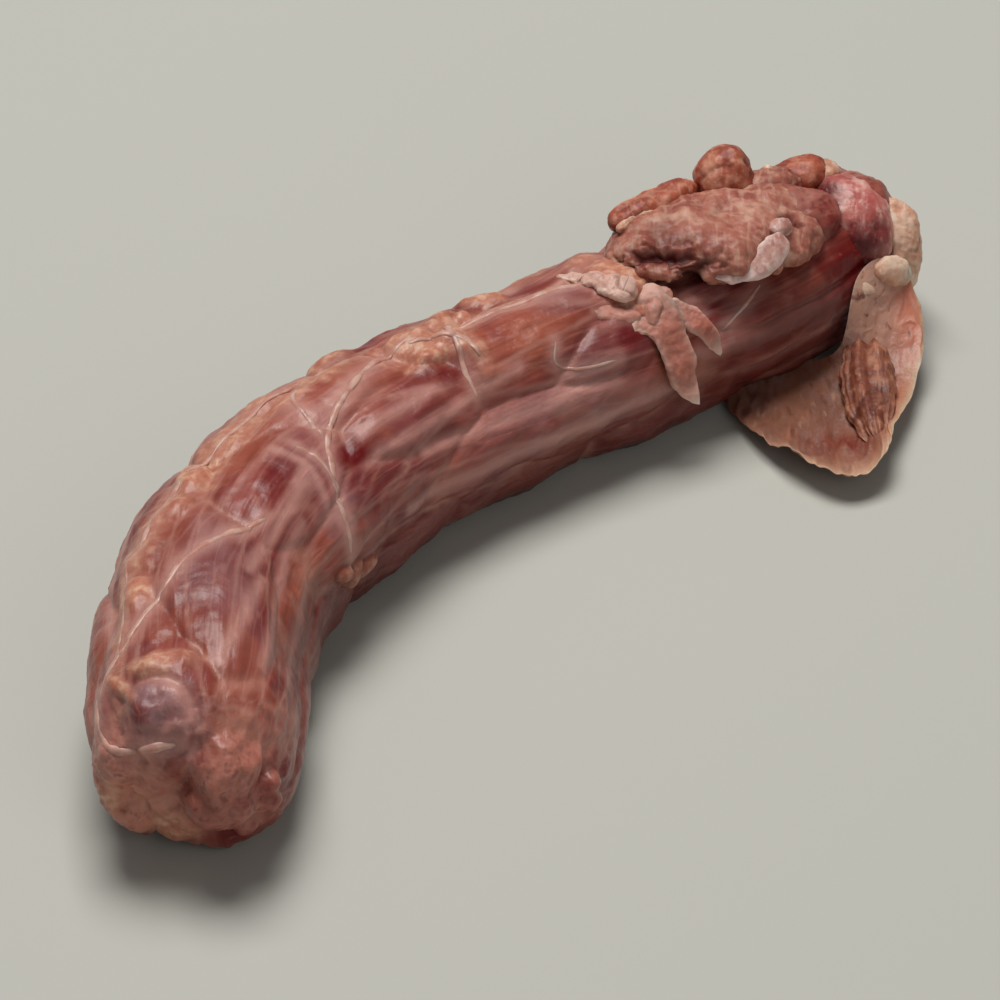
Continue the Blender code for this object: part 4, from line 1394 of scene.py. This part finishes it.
def cord_tube(cord, seed, ring_points=8):
    """A flattened tube along a cord's line on the flesh, thinned and swollen by noise."""
    half = cord[-1]
    rows = ROWS_PER_STATION * (len(cord) - 1)
    along, around = cord_line(cord, rows)
    straight = straightened(along, np.radians(around))
    along = along + WANDER_ALONG * swell(straight, WANDER_SIZE, seed)
    around = around + WANDER_AROUND * swell(straight, WANDER_SIZE, seed + 1)
    path, _, normals = flesh_point(along, around, -CORD_SINK * half)
    for _ in range(4):
        path[1:-1] = (path[:-2] + 2 * path[1:-1] + path[2:]) / 4
    size = half * (1 + CORD_SWING * swell(path, 2.5, seed + 2))
    return settled(swept(path, normals, size, CORD_FLATNESS * size, ring_points, power=8)[0])


CORD_FIELDS = {"cloud": (NOISE, False, (2.0, 2.0, 2.0), 3.0, 0.0)}
CORD_LAYERS = ((None, "cloud", 0.35, 0.65, 1.0, "#d3a698"),)
FASCIA_CORD = tissue("pale_fascia_cord", "#bd8375", CORD_FIELDS, CORD_LAYERS, {"cloud": 0.5}, rough=0.34)
raised = [cord for cord in ALL_CORDS if cord[-1] >= RAISED_FROM]
cord_tubes = [cord_tube(cord, FIRST_CORD_SEED + 5 * i) for i, cord in enumerate(raised)]
make_piece("fascia_cords", cord_tubes, FASCIA_CORD)

# %% [markdown]
# ## Floor
# The neck lies on a plain pale surface of matt paint. It sends some light back up to the meat.

# %% Floor
FLOOR_WIDTH = 6.0
bpy.ops.mesh.primitive_plane_add(size=FLOOR_WIDTH)
floor = bpy.context.object
floor.name = "floor"
floor_paint = bpy.data.materials.new("pale_matt_paint")
floor_paint.use_nodes = True
paint_shader = floor_paint.node_tree.nodes["Principled BSDF"]
paint_shader.inputs["Base Color"].default_value = linear("#b9b9b1")
paint_shader.inputs["Roughness"].default_value = 0.6
floor.data.materials.append(floor_paint)
print("The floor is", round(floor.dimensions.x, 1), "m wide")

# %% [markdown]
# ## Light
# Wet meat shows its gloss best under one large soft light. It hangs above and a little behind,
# so that the top is bright and the near side falls into shade. A wide, weaker one in front and
# an even grey all round keep the shade open. A picture of a room would light it as well, but
# would show in the gloss.

# %% Light
world = bpy.data.worlds.new("studio_fill")
bpy.context.scene.world = world
world.use_nodes = True
sky = world.node_tree.nodes["Background"]
sky.inputs["Color"].default_value = linear("#f2f4f6")
sky.inputs["Strength"].default_value = 0.11


def soft_light(name, place, size, watts, colour):
    """A square area light that points at the neck."""
    light = bpy.data.lights.new(name, "AREA")
    light.size = size
    light.energy = watts
    light.color = linear(colour)[:3]
    lamp = bpy.data.objects.new(name, light)
    lamp.location = place
    lamp.rotation_euler = (-lamp.location).to_track_quat("-Z", "Y").to_euler()
    bpy.context.scene.collection.objects.link(lamp)
    print(name, "stands", round(lamp.location.length, 2), "m away")


soft_light("overhead_softbox", place=(-0.08, 0.24, 0.82), size=0.45, watts=7.2, colour="#fffdfa")
soft_light("front_fill", place=(0.5, -0.9, 0.6), size=0.8, watts=2.4, colour="#fbfaf8")

# %% [markdown]
# ## Camera
# The camera looks down at 37 degrees from three quarters of a metre. So near a small object, a
# long lens keeps both ends of the neck in frame with little perspective.

# %% Camera
ELEVATION, DISTANCE = np.radians(37.0), 0.75
AIM = np.array([0.0, 0.0, 11.0]) - PLAN_MIDDLE
camera_data = bpy.data.cameras.new("camera")
camera_data.lens = 241.0
camera_data.sensor_width = 36.0
camera = bpy.data.objects.new("camera", camera_data)
back = np.array([0.0, -np.cos(ELEVATION), np.sin(ELEVATION)])
camera.location = AIM * MM + DISTANCE * back
camera.rotation_euler = (np.pi / 2 - ELEVATION, 0.0, 0.0)
bpy.context.scene.collection.objects.link(camera)
bpy.context.scene.camera = camera
bpy.context.scene.view_settings.view_transform = "Standard"
bpy.context.scene.view_settings.look = "None"
print("The camera is at", np.round(camera.location, 3).tolist(), "m")
